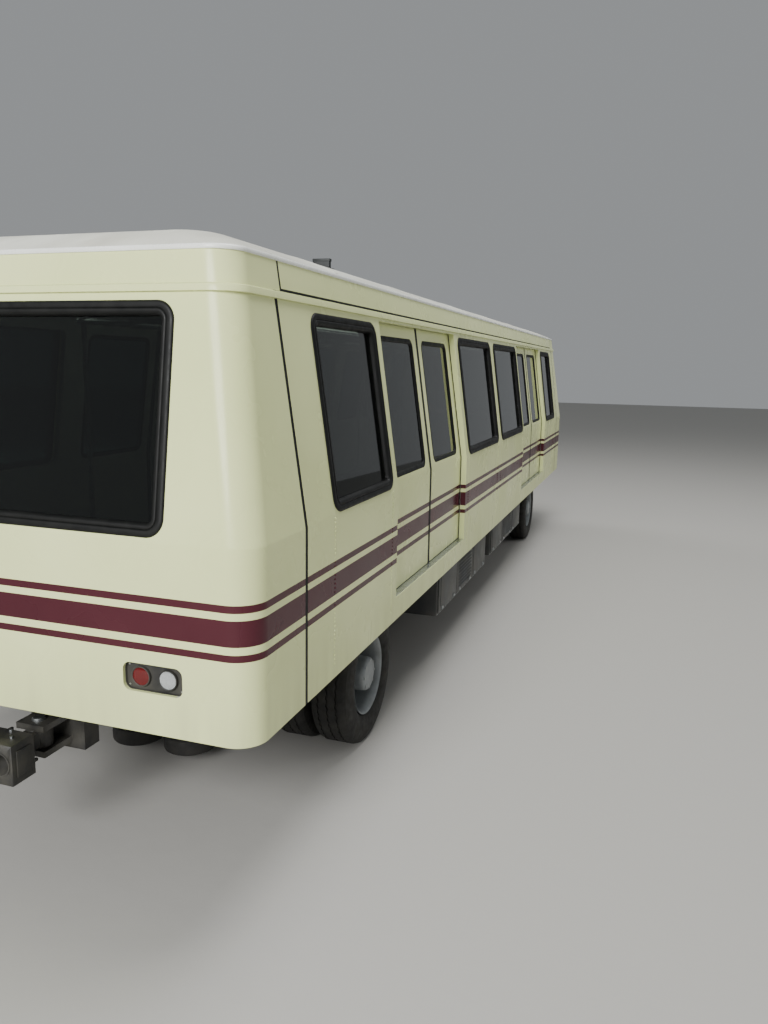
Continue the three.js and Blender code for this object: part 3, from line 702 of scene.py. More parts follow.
# section of the window rubber as (inset, depth behind the skin), from its outer lip round to its back
rubber = {
    "section": (
        (0.0, -0.0006), (0.002, -0.006), (0.008, -0.0105), (0.016, -0.0118), (0.030, -0.0118),
        (0.034, -0.0100), (0.037, -0.0060), (0.040, -0.0100), (0.044, -0.0116), (0.054, -0.0110),
        (0.062, -0.0060), (0.067, 0.0040), (0.070, 0.0140), (0.070, 0.0238), (0.0305, 0.0238),
        (0.0305, 0.0340), (0.0284, 0.0340), (0.0284, -0.0004)),
    "paneInset": 0.032, "paneDepths": (0.0240, 0.0340),
}
windows = {"spans": {"rear_end": (-4.955, -3.905), "rear_mid": (-1.595, -0.095), "front_mid": (0.095, 1.595),
                     "front_end": (3.905, 4.955)}, "low": 1.89, "high": 2.982, "radius": 0.095}
doors = {"centre": 2.75, "halfOpening": 1.05, "meeting": 0.003, "near": 0.058, "far": 0.092, "low": 1.106,
         "high": 3.03, "glassFrom": 0.095, "glassTo": 0.95, "glassLow": 1.91, "glassHigh": 2.942,
         "radius": 0.095, "overlap": 0.0223, "rubberWidth": 0.058, "paneInset": 0.05, "halfPane": 0.004}


def addGlazing(name, onBody, node, matrix, size, section, paneInset, paneDepths):
    # a rubber moulding right round a pane
    seal = loft([plateLoop(matrix, size, inset, depth) for inset, depth in section], 50, True)
    pane = loft([plateLoop(matrix, size, paneInset, depth) for depth in paneDepths])
    addPiece(name + "_rubber", seal, gasketRubber, onBody, (node,))
    addPiece(name + "_pane", pane, glass, onBody, (node,))


def windowSize(sign, place):
    x0, x1 = sorted(-sign * x for x in windows["spans"][place])
    return plateSize(x0, x1, windows["low"], windows["high"], windows["radius"])


def leafWay(end, place):
    # the way along the car in which a leaf opens
    return ends[end] * (1 if place == "outer" else -1)


def makeFixedGlass():
    how = (rubber["section"], rubber["paneInset"], rubber["paneDepths"])
    for side, sign in sides.items():
        for place in windows["spans"]:
            addGlazing(f"sideWindow_{place}_{side}", "car_body", f"window_{place}_{side}", sideFrame(sign),
                       windowSize(sign, place), *how)
    for end, sign in ends.items():
        addGlazing(f"endWindow_{end}", "car_body", f"windscreen_{end}", endFrame(sign), screenSize(), *how)


def makeLeafGlass():
    near, far, thick = doors["near"], doors["far"], doors["halfPane"]
    middle = (near + far) / 2
    inner, outer = doors["rubberWidth"], doors["overlap"]
    section = ((outer, near + 0.001), (0.030, near + 0.0002), (0.046, near + 0.0006), (0.053, near + 0.004),
               (inner, middle - 0.0042), (inner, middle + 0.0042), (0.050, far - 0.001), (outer, far - 0.001))
    for end, side, place in doorLeaves:
        centre, toward = ends[end] * doors["centre"], leafWay(end, place)
        x0, x1 = sorted(-sides[side] * (centre + toward * doors[key]) for key in ("glassFrom", "glassTo"))
        size = plateSize(x0, x1, doors["glassLow"], doors["glassHigh"], doors["radius"])
        which = f"{end}_{side}_{place}"
        addGlazing(f"leafWindow_{which}", f"leaf_{which}", f"door_glass_{which}", sideFrame(sides[side]),
                   size, section, doors["paneInset"], (middle - thick, middle + thick))


makeFixedGlass()
makeLeafGlass()
print("glazing made")


roofShape = {
    "crownInsets": (0.02, 0.04, 0.07), "recess": 0.016, "cove": ((0.96, 3.08), (0.975, 3.066), (1.02, 3.04)),
    # distances back from the joint, where the crown slopes down to it
    "stations": (0.0, 0.03, 0.06, 0.09, 0.12, 0.16, 0.2, 0.24),
}


def roofCurve(x=0.0):
    # outer roof line from the gutter edge to the crown, as (y, z)
    edge = skinY(body["roofEdge"])
    insets = roofInsets() + [body["roofInset"] + more for more in roofShape["crownInsets"]]
    return [(edge, body["roofEdge"])] + [(edge - inset, roofHeight(x, edge - inset)) for inset in insets]


def roofProfile(x):
    low, gap = body["header"] + body["clear"], body["header"] + body["headerGap"]
    deep, wall = roofShape["recess"], body["wall"] + body["clear"]
    # open joint over the header, filled by a bead
    outer = [(skinY(body["header"], deep), low), (skinY(gap, deep), gap), (skinY(gap), gap)]
    cove = list(roofShape["cove"])
    inner = [(0.0, body["ceiling"]), (cove[0][0], body["ceiling"])] + cove
    inner += [(skinY(cove[-1][1], wall), cove[-1][1]), (skinY(body["header"], wall), low)]
    half = inner + outer + roofCurve(x) + [(0.0, roofHeight(x, 0.0))]
    return half + [(-y, z) for y, z in reversed(half[1:-1])]


def makeRoof():
    reach = body["coveJoint"] - body["coveGap"] / 2
    half = [reach - back for back in roofShape["stations"]]
    stations = [-x for x in half] + half[::-1]
    roof = loft([[(x, y, z) for y, z in roofProfile(x)] for x in stations], 25)
    addPiece("roofShell", roof, paint, "car_body", ("roof",))


makeRoof()
print("roof made")


wheel = {
    "centreX": 3.8, "radius": 0.5, "innerY": 0.64, "width": 0.28, "spacing": 0.32, "rim": 0.29,
    "treadSteps": 216, "shoulder": 0.052, "grooveDepth": 0.011, "grooves": (-0.066, 0.0, 0.066),
    "grooveHalf": 0.0055, "grooveSlope": 0.0015, "zigzag": 0.004, "zigzags": 54, "zigzagReach": 0.08,
    # sections as (radius, height), with height 0 at the inner tyre's inner face and growing outwards
    "disc": ((0.150, 0.300), (0.185, 0.316), (0.235, 0.312), (0.262, 0.285), (0.266, 0.262), (0.274, 0.262),
             (0.274, 0.30), (0.262, 0.318), (0.238, 0.330), (0.185, 0.332), (0.150, 0.318)),
    "drum": ((0.0, -0.0194), (0.150, -0.0194), (0.150, 0.09), (0.200, 0.10), (0.255, 0.10), (0.262, 0.11),
             (0.262, 0.285), (0.235, 0.29), (0.160, 0.29), (0.0, 0.29)),
    "nose": ((0.0, 0.28), (0.152, 0.28), (0.152, 0.327), (0.149, 0.332), (0.134, 0.335), (0.131, 0.36),
             (0.127, 0.40), (0.124, 0.55), (0.120, 0.575), (0.108, 0.587), (0.09, 0.5895), (0.0, 0.5895)),
    # the same for one rim, from its edge
    "rimSection": ((-0.006, 0.018), (0.0, 0.016), (0.0, 0.022), (-0.010, 0.03), (-0.018, 0.08),
                   (-0.018, 0.20), (-0.010, 0.25), (0.0, 0.258), (0.0, 0.264), (-0.006, 0.262),
                   (-0.018, 0.25), (-0.028, 0.20), (-0.028, 0.08), (-0.018, 0.03)),
    "holes": 8, "holeCircle": 0.222, "holeRadius": 0.019,
    # nuts, their studs and the bolts of the nose as (count, circle, radius, height, middle)
    "bolts": ((10, 0.168, 0.017, 0.03, 0.345), (10, 0.168, 0.008, 0.05, 0.35),
              (8, 0.100, 0.009, 0.01, 0.587)),
}


def makeTyre():
    # one tyre about Z, its middle at height 0; tread grooves run in a zigzag
    half, radius, rim = wheel["width"] / 2, wheel["radius"], wheel["rim"]
    sidewall = [(rim + 0.002, half - 0.034), (rim + 0.02, half - 0.012), (0.345, half - 0.002), (0.39, half),
                (0.43, half - 0.002), (0.455, half - 0.008), (0.472, half - 0.013), (0.474, half - 0.0165),
                (0.482, half - 0.020), (0.492, half - 0.030), (0.4975, half - 0.044)]
    tread = [(-half + wheel["shoulder"], 0.0)]
    g, slope = wheel["grooveHalf"], wheel["grooveSlope"]
    for middle in wheel["grooves"]:
        tread += [(middle - g, 0.0), (middle - g + slope, 1.0), (middle + g - slope, 1.0), (middle + g, 0.0)]
    tread.append((half - wheel["shoulder"], 0.0))
    count = wheel["treadSteps"]
    loops = []
    for step in range(count):
        angle = 2 * math.pi * step / count
        wave = wheel["zigzag"] * (1 if (step * wheel["zigzags"] * 2 // count) % 2 else -1)
        ring = [(r, -z) for r, z in sidewall]
        ring += [(radius - wheel["grooveDepth"] * deep, z + (wave if abs(z) < wheel["zigzagReach"] else 0))
                 for z, deep in tread]
        ring += [(r, z) for r, z in reversed(sidewall)]
        loops.append([(r * math.cos(angle), r * math.sin(angle), z) for r, z in ring])
    return loft(loops, 40, True)


def makeHub():
    edge = wheel["rim"] - 2 * body["clear"]
    rims = [lathe([(edge + r, base + z) for r, z in wheel["rimSection"]], 72, 40, True)
            for base in (0.0, wheel["spacing"])]
    hole = lathe([(wheel["holeRadius"], 0.25), (wheel["holeRadius"], 0.36)], 20)
    holes = []
    for i in range(wheel["holes"]):
        a = 2 * math.pi * (i + 0.5) / wheel["holes"]
        holes.append(moved(hole, Matrix.Translation((
            wheel["holeCircle"] * math.cos(a), wheel["holeCircle"] * math.sin(a), 0))))
    disc = finishMesh(carve(lathe(wheel["disc"], 96, 40, True), [joinMeshes(holes)]), 40)
    painted = joinMeshes(rims + [disc] + [lathe(wheel[key], 72, 40) for key in ("drum", "nose")])
    return painted, joinMeshes([boltRing(*ring) for ring in wheel["bolts"]])


def makeWheels():
    tyre = makeTyre()
    hub, nuts = makeHub()
    for end, endSign in ends.items():
        for side, sign in sides.items():
            # wheel space to the car: Z of the wheel points out of the car
            matrix = (Matrix.Translation((endSign * wheel["centreX"], 0, wheel["radius"]))
                      @ Matrix.Rotation(-sign * math.pi / 2, 4, "X"))
            which = f"{end}_{side}"
            middle = wheel["innerY"] + wheel["width"] / 2
            pair = joinMeshes([moved(tyre, matrix @ Matrix.Translation((0, 0, middle + offset)))
                               for offset in (0, wheel["spacing"])])
            addPiece(f"twinTyres_{which}", pair, tyreRubber, f"wheel_{which}",
                     (f"tyres_{which}",))
            out = matrix @ Matrix.Translation((0, 0, wheel["innerY"]))
            addPiece(f"wheelHub_{which}", moved(hub, out), rimSteel, f"wheel_{which}",
                     (f"hub_{which}",))
            addPiece(f"wheelNuts_{which}", moved(nuts, out), plateSteel, f"wheel_{which}")


makeWheels()
print("wheels made")


trim = {"near": 0.0008, "far": 0.016, "crown": 0.0005, "railLow": 3.018, "railHigh": 3.058,
        "railProud": 0.015, "gutterProud": 0.006, "cabinMiddle": 1.5}


def beadRow(low, high):
    # section of a black sealing bead between a joint's edges, as (place, depth behind the skin)
    near, far = trim["near"], trim["far"]
    return ((low, near), ((low + high) / 2, near - trim["crown"]), (high, near), (high, far), (low, far))


def overRoofBead(x0, x1):
    # a bead from one header over the roof to the other
    paths = {}
    for x in (x0, (x0 + x1) / 2, x1):
        low = body["header"] + body["clear"]
        half = [(skinY(z), z) for z in (low, (body["header"] + body["roofEdge"]) / 2)] + roofCurve(x)
        paths[x] = half + [(0.0, roofHeight(x, 0.0))] + [(-y, z) for y, z in reversed(half)]
    path = paths[(x0 + x1) / 2]
    loops = []
    for i, (y, z) in enumerate(path):
        before, after = path[max(i - 1, 0)], path[min(i + 1, len(path) - 1)]
        along = Vector((after[0] - before[0], after[1] - before[1])).normalized()
        inward = Vector((-along.y, along.x))
        if inward.dot(Vector((y, z - trim["cabinMiddle"]))) > 0:
            inward = -inward
        loops.append([(x, paths[x][i][0] + inward.x * depth, paths[x][i][1] + inward.y * depth)
                      for x, depth in beadRow(x0, x1)])
    return loft(loops)


def makeSeams():
    beads = []
    reach, joint = body["coveJoint"] - body["coveGap"] / 2, body["joint"]
    low, high = body["header"] + body["clear"], body["header"] + body["headerGap"]
    levels = (body["sill"], body["crease"], body["header"] - body["clear"])
    for sign in sides.values():
        beads.append(loft([[(x, sign * skinY(z, depth), z) for z, depth in beadRow(low, high)]
                           for x in (-reach, reach)]))
        for end in ends.values():
            xs = sorted((end * (joint + 0.0002), end * (joint + body["jointGap"])))
            beads.append(loft([[(x, sign * skinY(z, depth), z) for x, depth in beadRow(*xs)]
                               for z in levels]))
    for end in ends.values():
        beads.append(overRoofBead(*sorted((end * reach, end * (reach + body["coveGap"])))))
    addPiece("jointSealant", joinMeshes(beads), gasketRubber, "car_body")


def makeRails():
    # rolled sections as (height, how far proud of the skin), run right round the body
    low, high, proud = trim["railLow"], trim["railHigh"], trim["railProud"]
    section = ((low + 0.001, -0.0006), (low, 0.0035), (low + 0.0035, proud), (low + 0.02, proud + 0.0005),
               (high - 0.006, proud - 0.001), (high - 0.001, 0.003), (high, -0.0006))
    drip = loft([wholeOutline(z, -out) for z, out in section], 50, True)
    addPiece("dripRail", drip, paint, "car_body")
    low, high, proud = body["roofEdge"] - 0.002, body["gutter"] + 0.001, trim["gutterProud"]
    section = ((low, -0.001), (low, proud - 0.002), (low + 0.003, proud), (high - 0.008, proud),
               (high - 0.002, proud - 0.004), (high, -0.006), (high - 0.003, -0.012))
    strip = loft([wholeOutline(body["roofEdge"], -out, z) for z, out in section], 50, True)
    addPiece("gutterStrip", strip, gutterPaint, "car_body")


makeSeams()
makeRails()

rivets = {"radius": 0.007, "rise": 0.0048, "pitch": 0.025, "top": 1.867, "count": 35, "inside": 0.008}


def makeRivets():
    # a column under each end of the fixed windows, where the wall sheet is fixed to its posts
    columns = []
    for sign in sides.values():
        for x0, x1 in windows["spans"].values():
            for x in (x0 + rivets["inside"], x1 - rivets["inside"]):
                columns.append(runTree(
                    rivetTree, 80, count=rivets["count"], start=(x, sign * body["halfWidth"], rivets["top"]),
                    step=(0, 0, -rivets["pitch"]), facing=(0, sign, 0), radius=rivets["radius"],
                    rise=rivets["rise"], material=paint))
    addPiece("wallRivets", joinMeshes(columns), paint, "car_body")


makeRivets()
print("seams, rails and rivets made")


def outward(sign, x, y, z):
    # lathe space to the end wall: Z of the lathe points out of the end
    return Matrix.Translation((sign * x, y, z)) @ Matrix.Rotation(sign * math.pi / 2, 4, "Y")


def makeLamps():
    bezel = lathe(lamps["bezel"], 48, closed=True)
    bowl, lens = (lathe(lamps[key], 48) for key in ("bowl", "lens"))
    screw = lathe(lamps["screw"], 12)
    floor = body["halfLength"] - lamps["depth"]
    for end, sign in ends.items():
        groups = {"bezel": [], "bowl": [], "clear": [], "red": [], "plate": [], "screws": []}
        for across in sides.values():
            groups["plate"].append(loft([
                [(sign * (floor + out), y, z) for y, z in lampPlate(across, inset)]
                for out, inset in lamps["plate"]]))
            for place, lamp in ((-0.5, "red"), (0.5, "clear")):
                y = across * (lamps["y"] + place * lamps["spacing"])
                put = outward(sign, floor + lamps["recess"], y, lamps["z"])
                for key, mesh in (("bezel", bezel), ("bowl", bowl), (lamp, lens)):
                    groups[key].append(moved(mesh, put))
            for y in (across * lamps["y"] + way * lamps["screwY"] for way in (-1, 1)):
                for z in (lamps["z"] + way * lamps["screwZ"] for way in (-1, 1)):
                    groups["screws"].append(moved(screw, outward(sign, floor + lamps["recess"], y, z)))
        for key, material, slot in (
                ("bezel", chassisPaint, "black_paint"), ("bowl", railSteel, "rail_steel"),
                ("clear", clearLens, "tinted_glass"), ("red", redLens, "tinted_glass"),
                ("plate", chassisPaint, "black_paint"), ("screws", railSteel, "rail_steel")):
            addPiece(f"lamp_{key}_{end}", joinMeshes(groups[key]), material, "car_body")


makeLamps()
print("lamps made")


# rubber nose between the leaves, and its lips on both faces of the leaf
leafEdge = {"noseFrom": -0.0027, "noseTo": -0.00005, "noseNear": 0.063, "noseFar": 0.087, "lipFrom": 0.0004,
            "lipTo": 0.022, "proud": 0.0012, "bottom": 0.002, "top": 0.01}
threshold = {
    # plates as (nearest, furthest from the car's middle, ribs)
    "plates": ((1.3665, 1.4165, 5), (1.19, 1.324, 14)), "thick": 0.0035, "side": 0.001, "bevel": 0.0008,
    "ribFrom": 0.008, "ribPitch": 0.009, "ribWidth": 0.004, "ribHeight": 0.0016, "ribInset": 0.002,
    "ribZ": 0.0042,
    "brushNear": 0.0505, "brushFar": 0.0565, "brushWidth": 0.015, "brushOut": 0.019, "brushLow": 1.11,
    "brushHigh": 3.0, "brushTop": 3.012,
}


def leafStrip(sign, x0, x1, near, far, low, high):
    # an upright strip that follows the wall, between two depths behind the skin
    section = ((x0, near), (x1, near), (x1, far), (x0, far))
    return loft([[(x, sign * skinY(z, depth), z) for x, depth in section]
                 for z in (low, body["crease"], high) if low <= z <= high])


def makeDoorTrim():
    low, high = doors["low"] + leafEdge["bottom"], doors["high"] - leafEdge["top"]
    nose, lip, proud = ((leafEdge["noseFrom"], leafEdge["noseTo"]), (leafEdge["lipFrom"], leafEdge["lipTo"]),
                        leafEdge["proud"])
    strips = ((nose, leafEdge["noseNear"], leafEdge["noseFar"]),
              (lip, doors["near"] - proud, doors["near"] + 0.0004),
              (lip, doors["far"] - 0.0004, doors["far"] + proud))
    for end, side, place in doorLeaves:
        toward = leafWay(end, place)
        edge = ends[end] * doors["centre"] + toward * doors["meeting"]
        parts = [leafStrip(sides[side], *sorted(edge + toward * x for x in span), near, far, low, high)
                 for span, near, far in strips]
        addPiece(f"doorNose_{end}_{side}_{place}", joinMeshes(parts), gasketRubber,
                 f"leaf_{end}_{side}_{place}")


def makeThresholds():
    floor, strip = body["floor"], threshold
    wide, bottom, lintel = (strip[key] for key in ("brushWidth", "brushLow", "brushHigh"))
    plates, ribs, brushes = [], [], []
    for sign in ends.values():
        middle, half = sign * doors["centre"], doors["halfOpening"] - strip["side"]
        x0, x1 = middle - half, middle + half
        for across in sides.values():
            for near, far, count in strip["plates"]:
                plates.append(sideBox(across, x0, x1, near, far, floor + body["clear"],
                                      floor + strip["thick"], strip["bevel"]))
                ribs.append(runTree(
                    slatTree, count=count, step=(0, across * strip["ribPitch"], 0), turn=(0, 0, 0),
                    start=(middle, across * (near + strip["ribFrom"]), floor + strip["ribZ"]),
                    size=(2 * (half - strip["ribInset"]), strip["ribWidth"], strip["ribHeight"]),
                    material=railSteel))
            # brushes that close the gap between wall and leaf at both jambs and over the doorway
            left, right = x0 - strip["brushOut"], x1 + strip["brushOut"]
            for a, b, low, high in ((left, left + wide, bottom, lintel),
                                    (right - wide, right, bottom, lintel),
                                    (left, right, lintel, strip["brushTop"])):
                brushes.append(leafStrip(across, a, b, strip["brushNear"], strip["brushFar"], low, high))
    addPiece("thresholdPlates", joinMeshes(plates + ribs), railSteel, "car_body")
    addPiece("doorBrushes", joinMeshes(brushes), gasketRubber, "car_body")


makeDoorTrim()
makeThresholds()
print("door trim made")


lining = {"near": 0.1, "far": 0.104, "end": 5.31, "low": 1.102, "high": 3.036, "windowInset": 0.045,
          "doorway": (0.9, 1.5, 1.0, 3.01)}


def makeLining():
    near, far, low, high = (lining[key] for key in ("near", "far", "low", "high"))
    crease = body["crease"] - near * math.tan(body["lean"] / 2)
    section = [(z, near) for z in (low, crease, high)] + [(z, far) for z in (high, crease, low)]
    for side, sign in sides.items():
        panel = loft([[(x, sign * skinY(z, depth), z) for z, depth in section]
                      for x in (-lining["end"], lining["end"])])
        cutters = [loft([plateLoop(sideFrame(sign), windowSize(sign, place), lining["windowInset"], depth, 6)
                         for depth in (0.06, 0.16)]) for place in windows["spans"]]
        for end in ends.values():
            x0, x1 = (end * doors["centre"] + way * doors["halfOpening"] for way in (-1, 1))
            cutters.append(sideBox(sign, x0, x1, *lining["doorway"]))
        panel = finishMesh(carve(panel, cutters), 30)
        addPiece(f"cabinLining_{side}", panel, liningPlastic, "car_body")


def tube(start, stop, radius, segments=20):
    start, along = Vector(start), Vector(stop) - Vector(start)
    mesh = lathe([(radius, 0.0), (radius, along.length)], segments, 60)
    return moved(mesh, Matrix.Translation(start) @ along.to_track_quat("Z", "Y").to_matrix().to_4x4())


def ball(centre, radius, rings=10):
    # both poles stay open by a hair
    angles = [math.pi * (i + 0.001) / (rings + 0.002) for i in range(rings + 1)]
    return moved(lathe([(radius * math.sin(a), radius * math.cos(a)) for a in angles], 20, 60),
                 Matrix.Translation(centre))


rail = {"y": 0.52, "z": 2.955, "radius": 0.017, "half": 4.6, "poles": (-4.55, -0.95, 0.95, 4.55),
        "poleLow": 1.101, "poleHigh": 3.1295, "joint": 1.5, "flanges": ((1.1004, 1.112), (3.117, 3.1295)),
        "flangeRadius": 0.044}


def makeHandrails():
    z, r, half = rail["z"], rail["radius"], rail["half"]
    parts = []
    for y in (-rail["y"], rail["y"]):
        parts.append(tube((-half, y, z), (half, y, z), r))
        parts += [ball((x, y, z), r) for x in (-half, half)]
        for x in rail["poles"]:
            parts.append(tube((x, y, rail["poleLow"]), (x, y, rail["poleHigh"]), r))
            parts.append(ball((x, y, z), r * rail["joint"]))
            parts += [tube((x, y, low), (x, y, high), rail["flangeRadius"], 28)
                      for low, high in rail["flanges"]]
    parts += [tube((x, -rail["y"], z), (x, rail["y"], z), r) for x in rail["poles"]]
    addPiece("tubeHandrails", joinMeshes(parts), railSteel, "car_body", ("handrails",))


bench = {
    "profile": ((5.395, 1.1005), (5.825, 1.1005), (5.86, 1.85), (5.805, 1.85), (5.765, 1.56), (5.345, 1.548),
                (5.335, 1.5), (5.395, 1.49)),
    "halfWidth": 1.0, "seats": 4, "stations": 97, "pointSpacing": 0.05, "rounding": 0.014,
    "dip": 0.022, "seatX": (5.37, 5.75), "seatZ": (1.49, 1.57), "backX": 5.83, "backZ": 1.575,
    "backReach": 0.26, "endEase": 0.012, "middle": (5.62, 1.45),
}


def roundedProfile(points, radius, steps=4):
    # every corner of a closed line replaced by a small curve
    result = []
    for i, point in enumerate(points):
        here, before, after = Vector(point), Vector(points[i - 1]), Vector(points[(i + 1) % len(points)])
        reach = min(radius, (before - here).length * 0.45, (after - here).length * 0.45)
        first = here + (before - here).normalized() * reach
        last = here + (after - here).normalized() * reach
        for t in (k / steps for k in range(steps + 1)):
            result.append(tuple(first * (1 - t) ** 2 + here * 2 * t * (1 - t) + last * t ** 2))
    return result


def makeBenches():
    outline = roundedProfile(bench["profile"], bench["rounding"])
    dense = []
    for i, point in enumerate(outline):
        here, after = Vector(point), Vector(outline[(i + 1) % len(outline)])
        steps = max(1, round((after - here).length / bench["pointSpacing"]))
        dense += [tuple(here.lerp(after, k / steps)) for k in range(steps)]
    half, stations, dip = bench["halfWidth"], bench["stations"], bench["dip"]
    (x0, x1), (z0, z1), backX, backZ = (bench[key] for key in ("seatX", "seatZ", "backX", "backZ"))
    seatWidth = 2 * half / bench["seats"]
    loops = []
    for step in range(stations):
        y = -half + 2 * half * step / (stations - 1)
        across = ((y + half) % seatWidth) / seatWidth
        fall = min(1.0, math.sin(math.pi * across) * 1.5) ** 0.7
        ease = bench["endEase"] * max(0.0, 1 - min(step, stations - 1 - step) / 1.5)
        loop = []
        for x, z in dense:
            onSeat, onBack = z0 < z < z1 and x0 < x < x1, z > backZ and x < backX
            if onSeat:
                z -= dip * fall * math.sin(math.pi * (x - x0) / (x1 - x0))
            if onBack:
                x += dip * fall * math.sin(math.pi * min(1.0, (z - backZ) / bench["backReach"]))
            spot = Vector((x, z)).lerp(Vector(bench["middle"]), ease)
            loop.append((spot.x, y, spot.y))
        loops.append(loop)
    mesh = loft(loops, 40)
    for end, sign in ends.items():
        addPiece(f"mouldedBench_{end}", placed(mesh, sign), seatPlastic, "car_body",
                 (f"bench_{end}",))


overhead = {
    "lights": 7, "lightFrom": -4.5, "lightPitch": 1.5, "lightHalf": 0.7, "lightY": 0.62, "lightWidth": 0.11,
    "lightLow": 3.112, "lightHigh": 3.1298, "frame": 0.012, "frameLow": 3.122, "frameHigh": 3.1296,
    "grilles": (-3.75, -1.25, 1.25, 3.75), "grilleLength": 1.3, "grilleWidth": 0.13, "border": 0.02,
    "grilleLow": 3.114, "grilleHigh": 3.1297, "slatPitch": 0.02, "slatInside": 0.03, "slatWidth": 0.014,
    "slatThick": 0.0015, "slatTurn": 0.6, "slatZ": 3.122,
}


def makeCeiling():
    covers, frames = [], []
    size = overhead
    half, wide, border = size["lightHalf"], size["lightWidth"] / 2, size["frame"]
    for y in (-size["lightY"], size["lightY"]):
        for x in (size["lightFrom"] + size["lightPitch"] * i for i in range(size["lights"])):
            covers.append(boxMesh((x - half, y - wide, size["lightLow"]),
                                  (x + half, y + wide, size["lightHigh"]), 0.006, 3))
            frames.append(boxMesh((x - half - border, y - wide - border, size["frameLow"]),
                                  (x + half + border, y + wide + border, size["frameHigh"]), 0.002))
    addPiece("ceilingLights", joinMeshes(covers), diffuser, "car_body")
    half, wide, border = size["grilleLength"] / 2, size["grilleWidth"] / 2, size["border"]
    for x in size["grilles"]:
        for side in (-1, 1):
            ys = sorted((side * wide, side * (wide + border)))
            xs = sorted((x + side * half, x + side * (half - border)))
            for a, b, c, d in ((x - half, x + half, *ys), (*xs, -wide, wide)):
                frames.append(boxMesh((a, c, size["grilleLow"]), (b, d, size["grilleHigh"]), 0.003))
        frames.append(runTree(
            slatTree, count=int((2 * half - 2 * size["slatInside"]) / size["slatPitch"]) + 1,
            start=(x - half + size["slatInside"], 0.0, size["slatZ"]), step=(size["slatPitch"], 0, 0),
            size=(size["slatWidth"], 2 * wide, size["slatThick"]), turn=(0, size["slatTurn"], 0),
            material=liningPlastic))
    addPiece("ceilingFrames", joinMeshes(frames), liningPlastic, "car_body")


makeLining()
makeHandrails()
makeBenches()
makeCeiling()
print("cabin made")


guide = {
    "x": 0.76, "y": 0.205,
    # sections as (radius, height over the running surface)
    "tread": ((0.118, 0.121), (0.150, 0.120), (0.164, 0.1205), (0.174, 0.126), (0.1795, 0.138),
              (0.1798, 0.175), (0.1795, 0.212), (0.174, 0.224), (0.164, 0.2295), (0.150, 0.23),
              (0.118, 0.229)),
    "web": ((0.0, 0.132), (0.05, 0.130), (0.06, 0.150), (0.098, 0.152), (0.106, 0.126), (0.1178, 0.124),
            (0.1178, 0.226), (0.106, 0.224), (0.098, 0.198), (0.06, 0.2), (0.0548, 0.228), (0.0548, 0.2615),
            (0.0, 0.2615)),
    "bolts": (6, 0.079, 0.009, 0.062, 0.1755),  # count, circle, radius, height, middle
}


def makeGuideWheels():
    tread = lathe(guide["tread"], 64, 50, True)
    web = joinMeshes([lathe(guide["web"], 64, 40), boltRing(*guide["bolts"])])
    for end, sign in ends.items():
        for place, along in (("lead", 1), ("trail", -1)):
            for side, across in sides.items():
                x = sign * (wheel["centreX"] + along * guide["x"])
                put = Matrix.Translation((x, across * guide["y"], 0))
                which = f"{end}_{place}_{side}"
                addPiece(f"guideTread_{which}", moved(tread, put), tyreRubber, f"guide_{which}",
                         (f"guide_wheel_{which}",))
                addPiece(f"guideHub_{which}", moved(web, put), rimSteel, f"guide_{which}")


makeGuideWheels()
print("guide wheels made")

easing = {"side_wall": 0.002, "door": 0.003, "roof_box": 0.006, "bogie_frame": 0.007, "underframe": 0.005,
          "coupler": 0.009}


def makeShells():
    for side in sides:
        node = f"side_wall_{side}"
        addPiece(f"wallSheet_{side}", softened(node, easing["side_wall"]), paint, "car_body",
                 (node,))
        for which in (f"{end}_{side}_{place}" for end in ends for place in ("outer", "inner")):
            node = f"door_{which}"
            addPiece(f"doorLeaf_{which}", softened(node, easing["door"]), paint, f"leaf_{which}",
                     (node,))


makeShells()
print("walls and leaves made")

roofLap = {"at": (-4.4, -2.64, -0.88, 0.88, 2.64, 4.4), "width": 0.045, "rise": 0.0025, "slope": 0.002,
           "sink": 0.001, "rivetPitch": 0.06, "rivetFrom": 10, "rivetX": 0.014, "rivetRadius": 0.005,
           "rivetRise": 0.002}


def makeRoofLaps():
    # straps over the joints of the roof sheets, riveted down both edges
    straps, rows = [], []
    half, rise, slope, sink = roofLap["width"] / 2, roofLap["rise"], roofLap["slope"], roofLap["sink"]
    section = ((-half, -sink), (-half + slope, rise), (half - slope, rise), (half, -sink))
    curve = roofCurve()[2:]
    path = curve + [(0.0, body["roofTop"])] + [(-y, z) for y, z in reversed(curve)]
    reach = path[roofLap["rivetFrom"]][0]  # the crown is flat within this
    for x in roofLap["at"]:
        straps.append(loft([[(x + dx, y, z + dz) for dx, dz in section] for y, z in path], 40))
        for edge in (-roofLap["rivetX"], roofLap["rivetX"]):
            rows.append(runTree(
                rivetTree, count=int(2 * reach / roofLap["rivetPitch"]),
                start=(x + edge, -reach, body["roofTop"] + rise), step=(0, roofLap["rivetPitch"], 0),
                facing=(0, 0, 1), radius=roofLap["rivetRadius"], rise=roofLap["rivetRise"], material=paint))
    addPiece("roofLaps", joinMeshes(straps + rows), paint, "car_body")


makeRoofLaps()

roofBox = {"x": 3.8425, "half": 0.0175, "inner": 0.8, "outer": 0.92, "top": 3.405, "lid": 0.02,
           "proud": 0.0025, "flange": 0.018, "flangeRise": 0.005, "flangeSink": 0.002, "flangeSlope": 0.002}


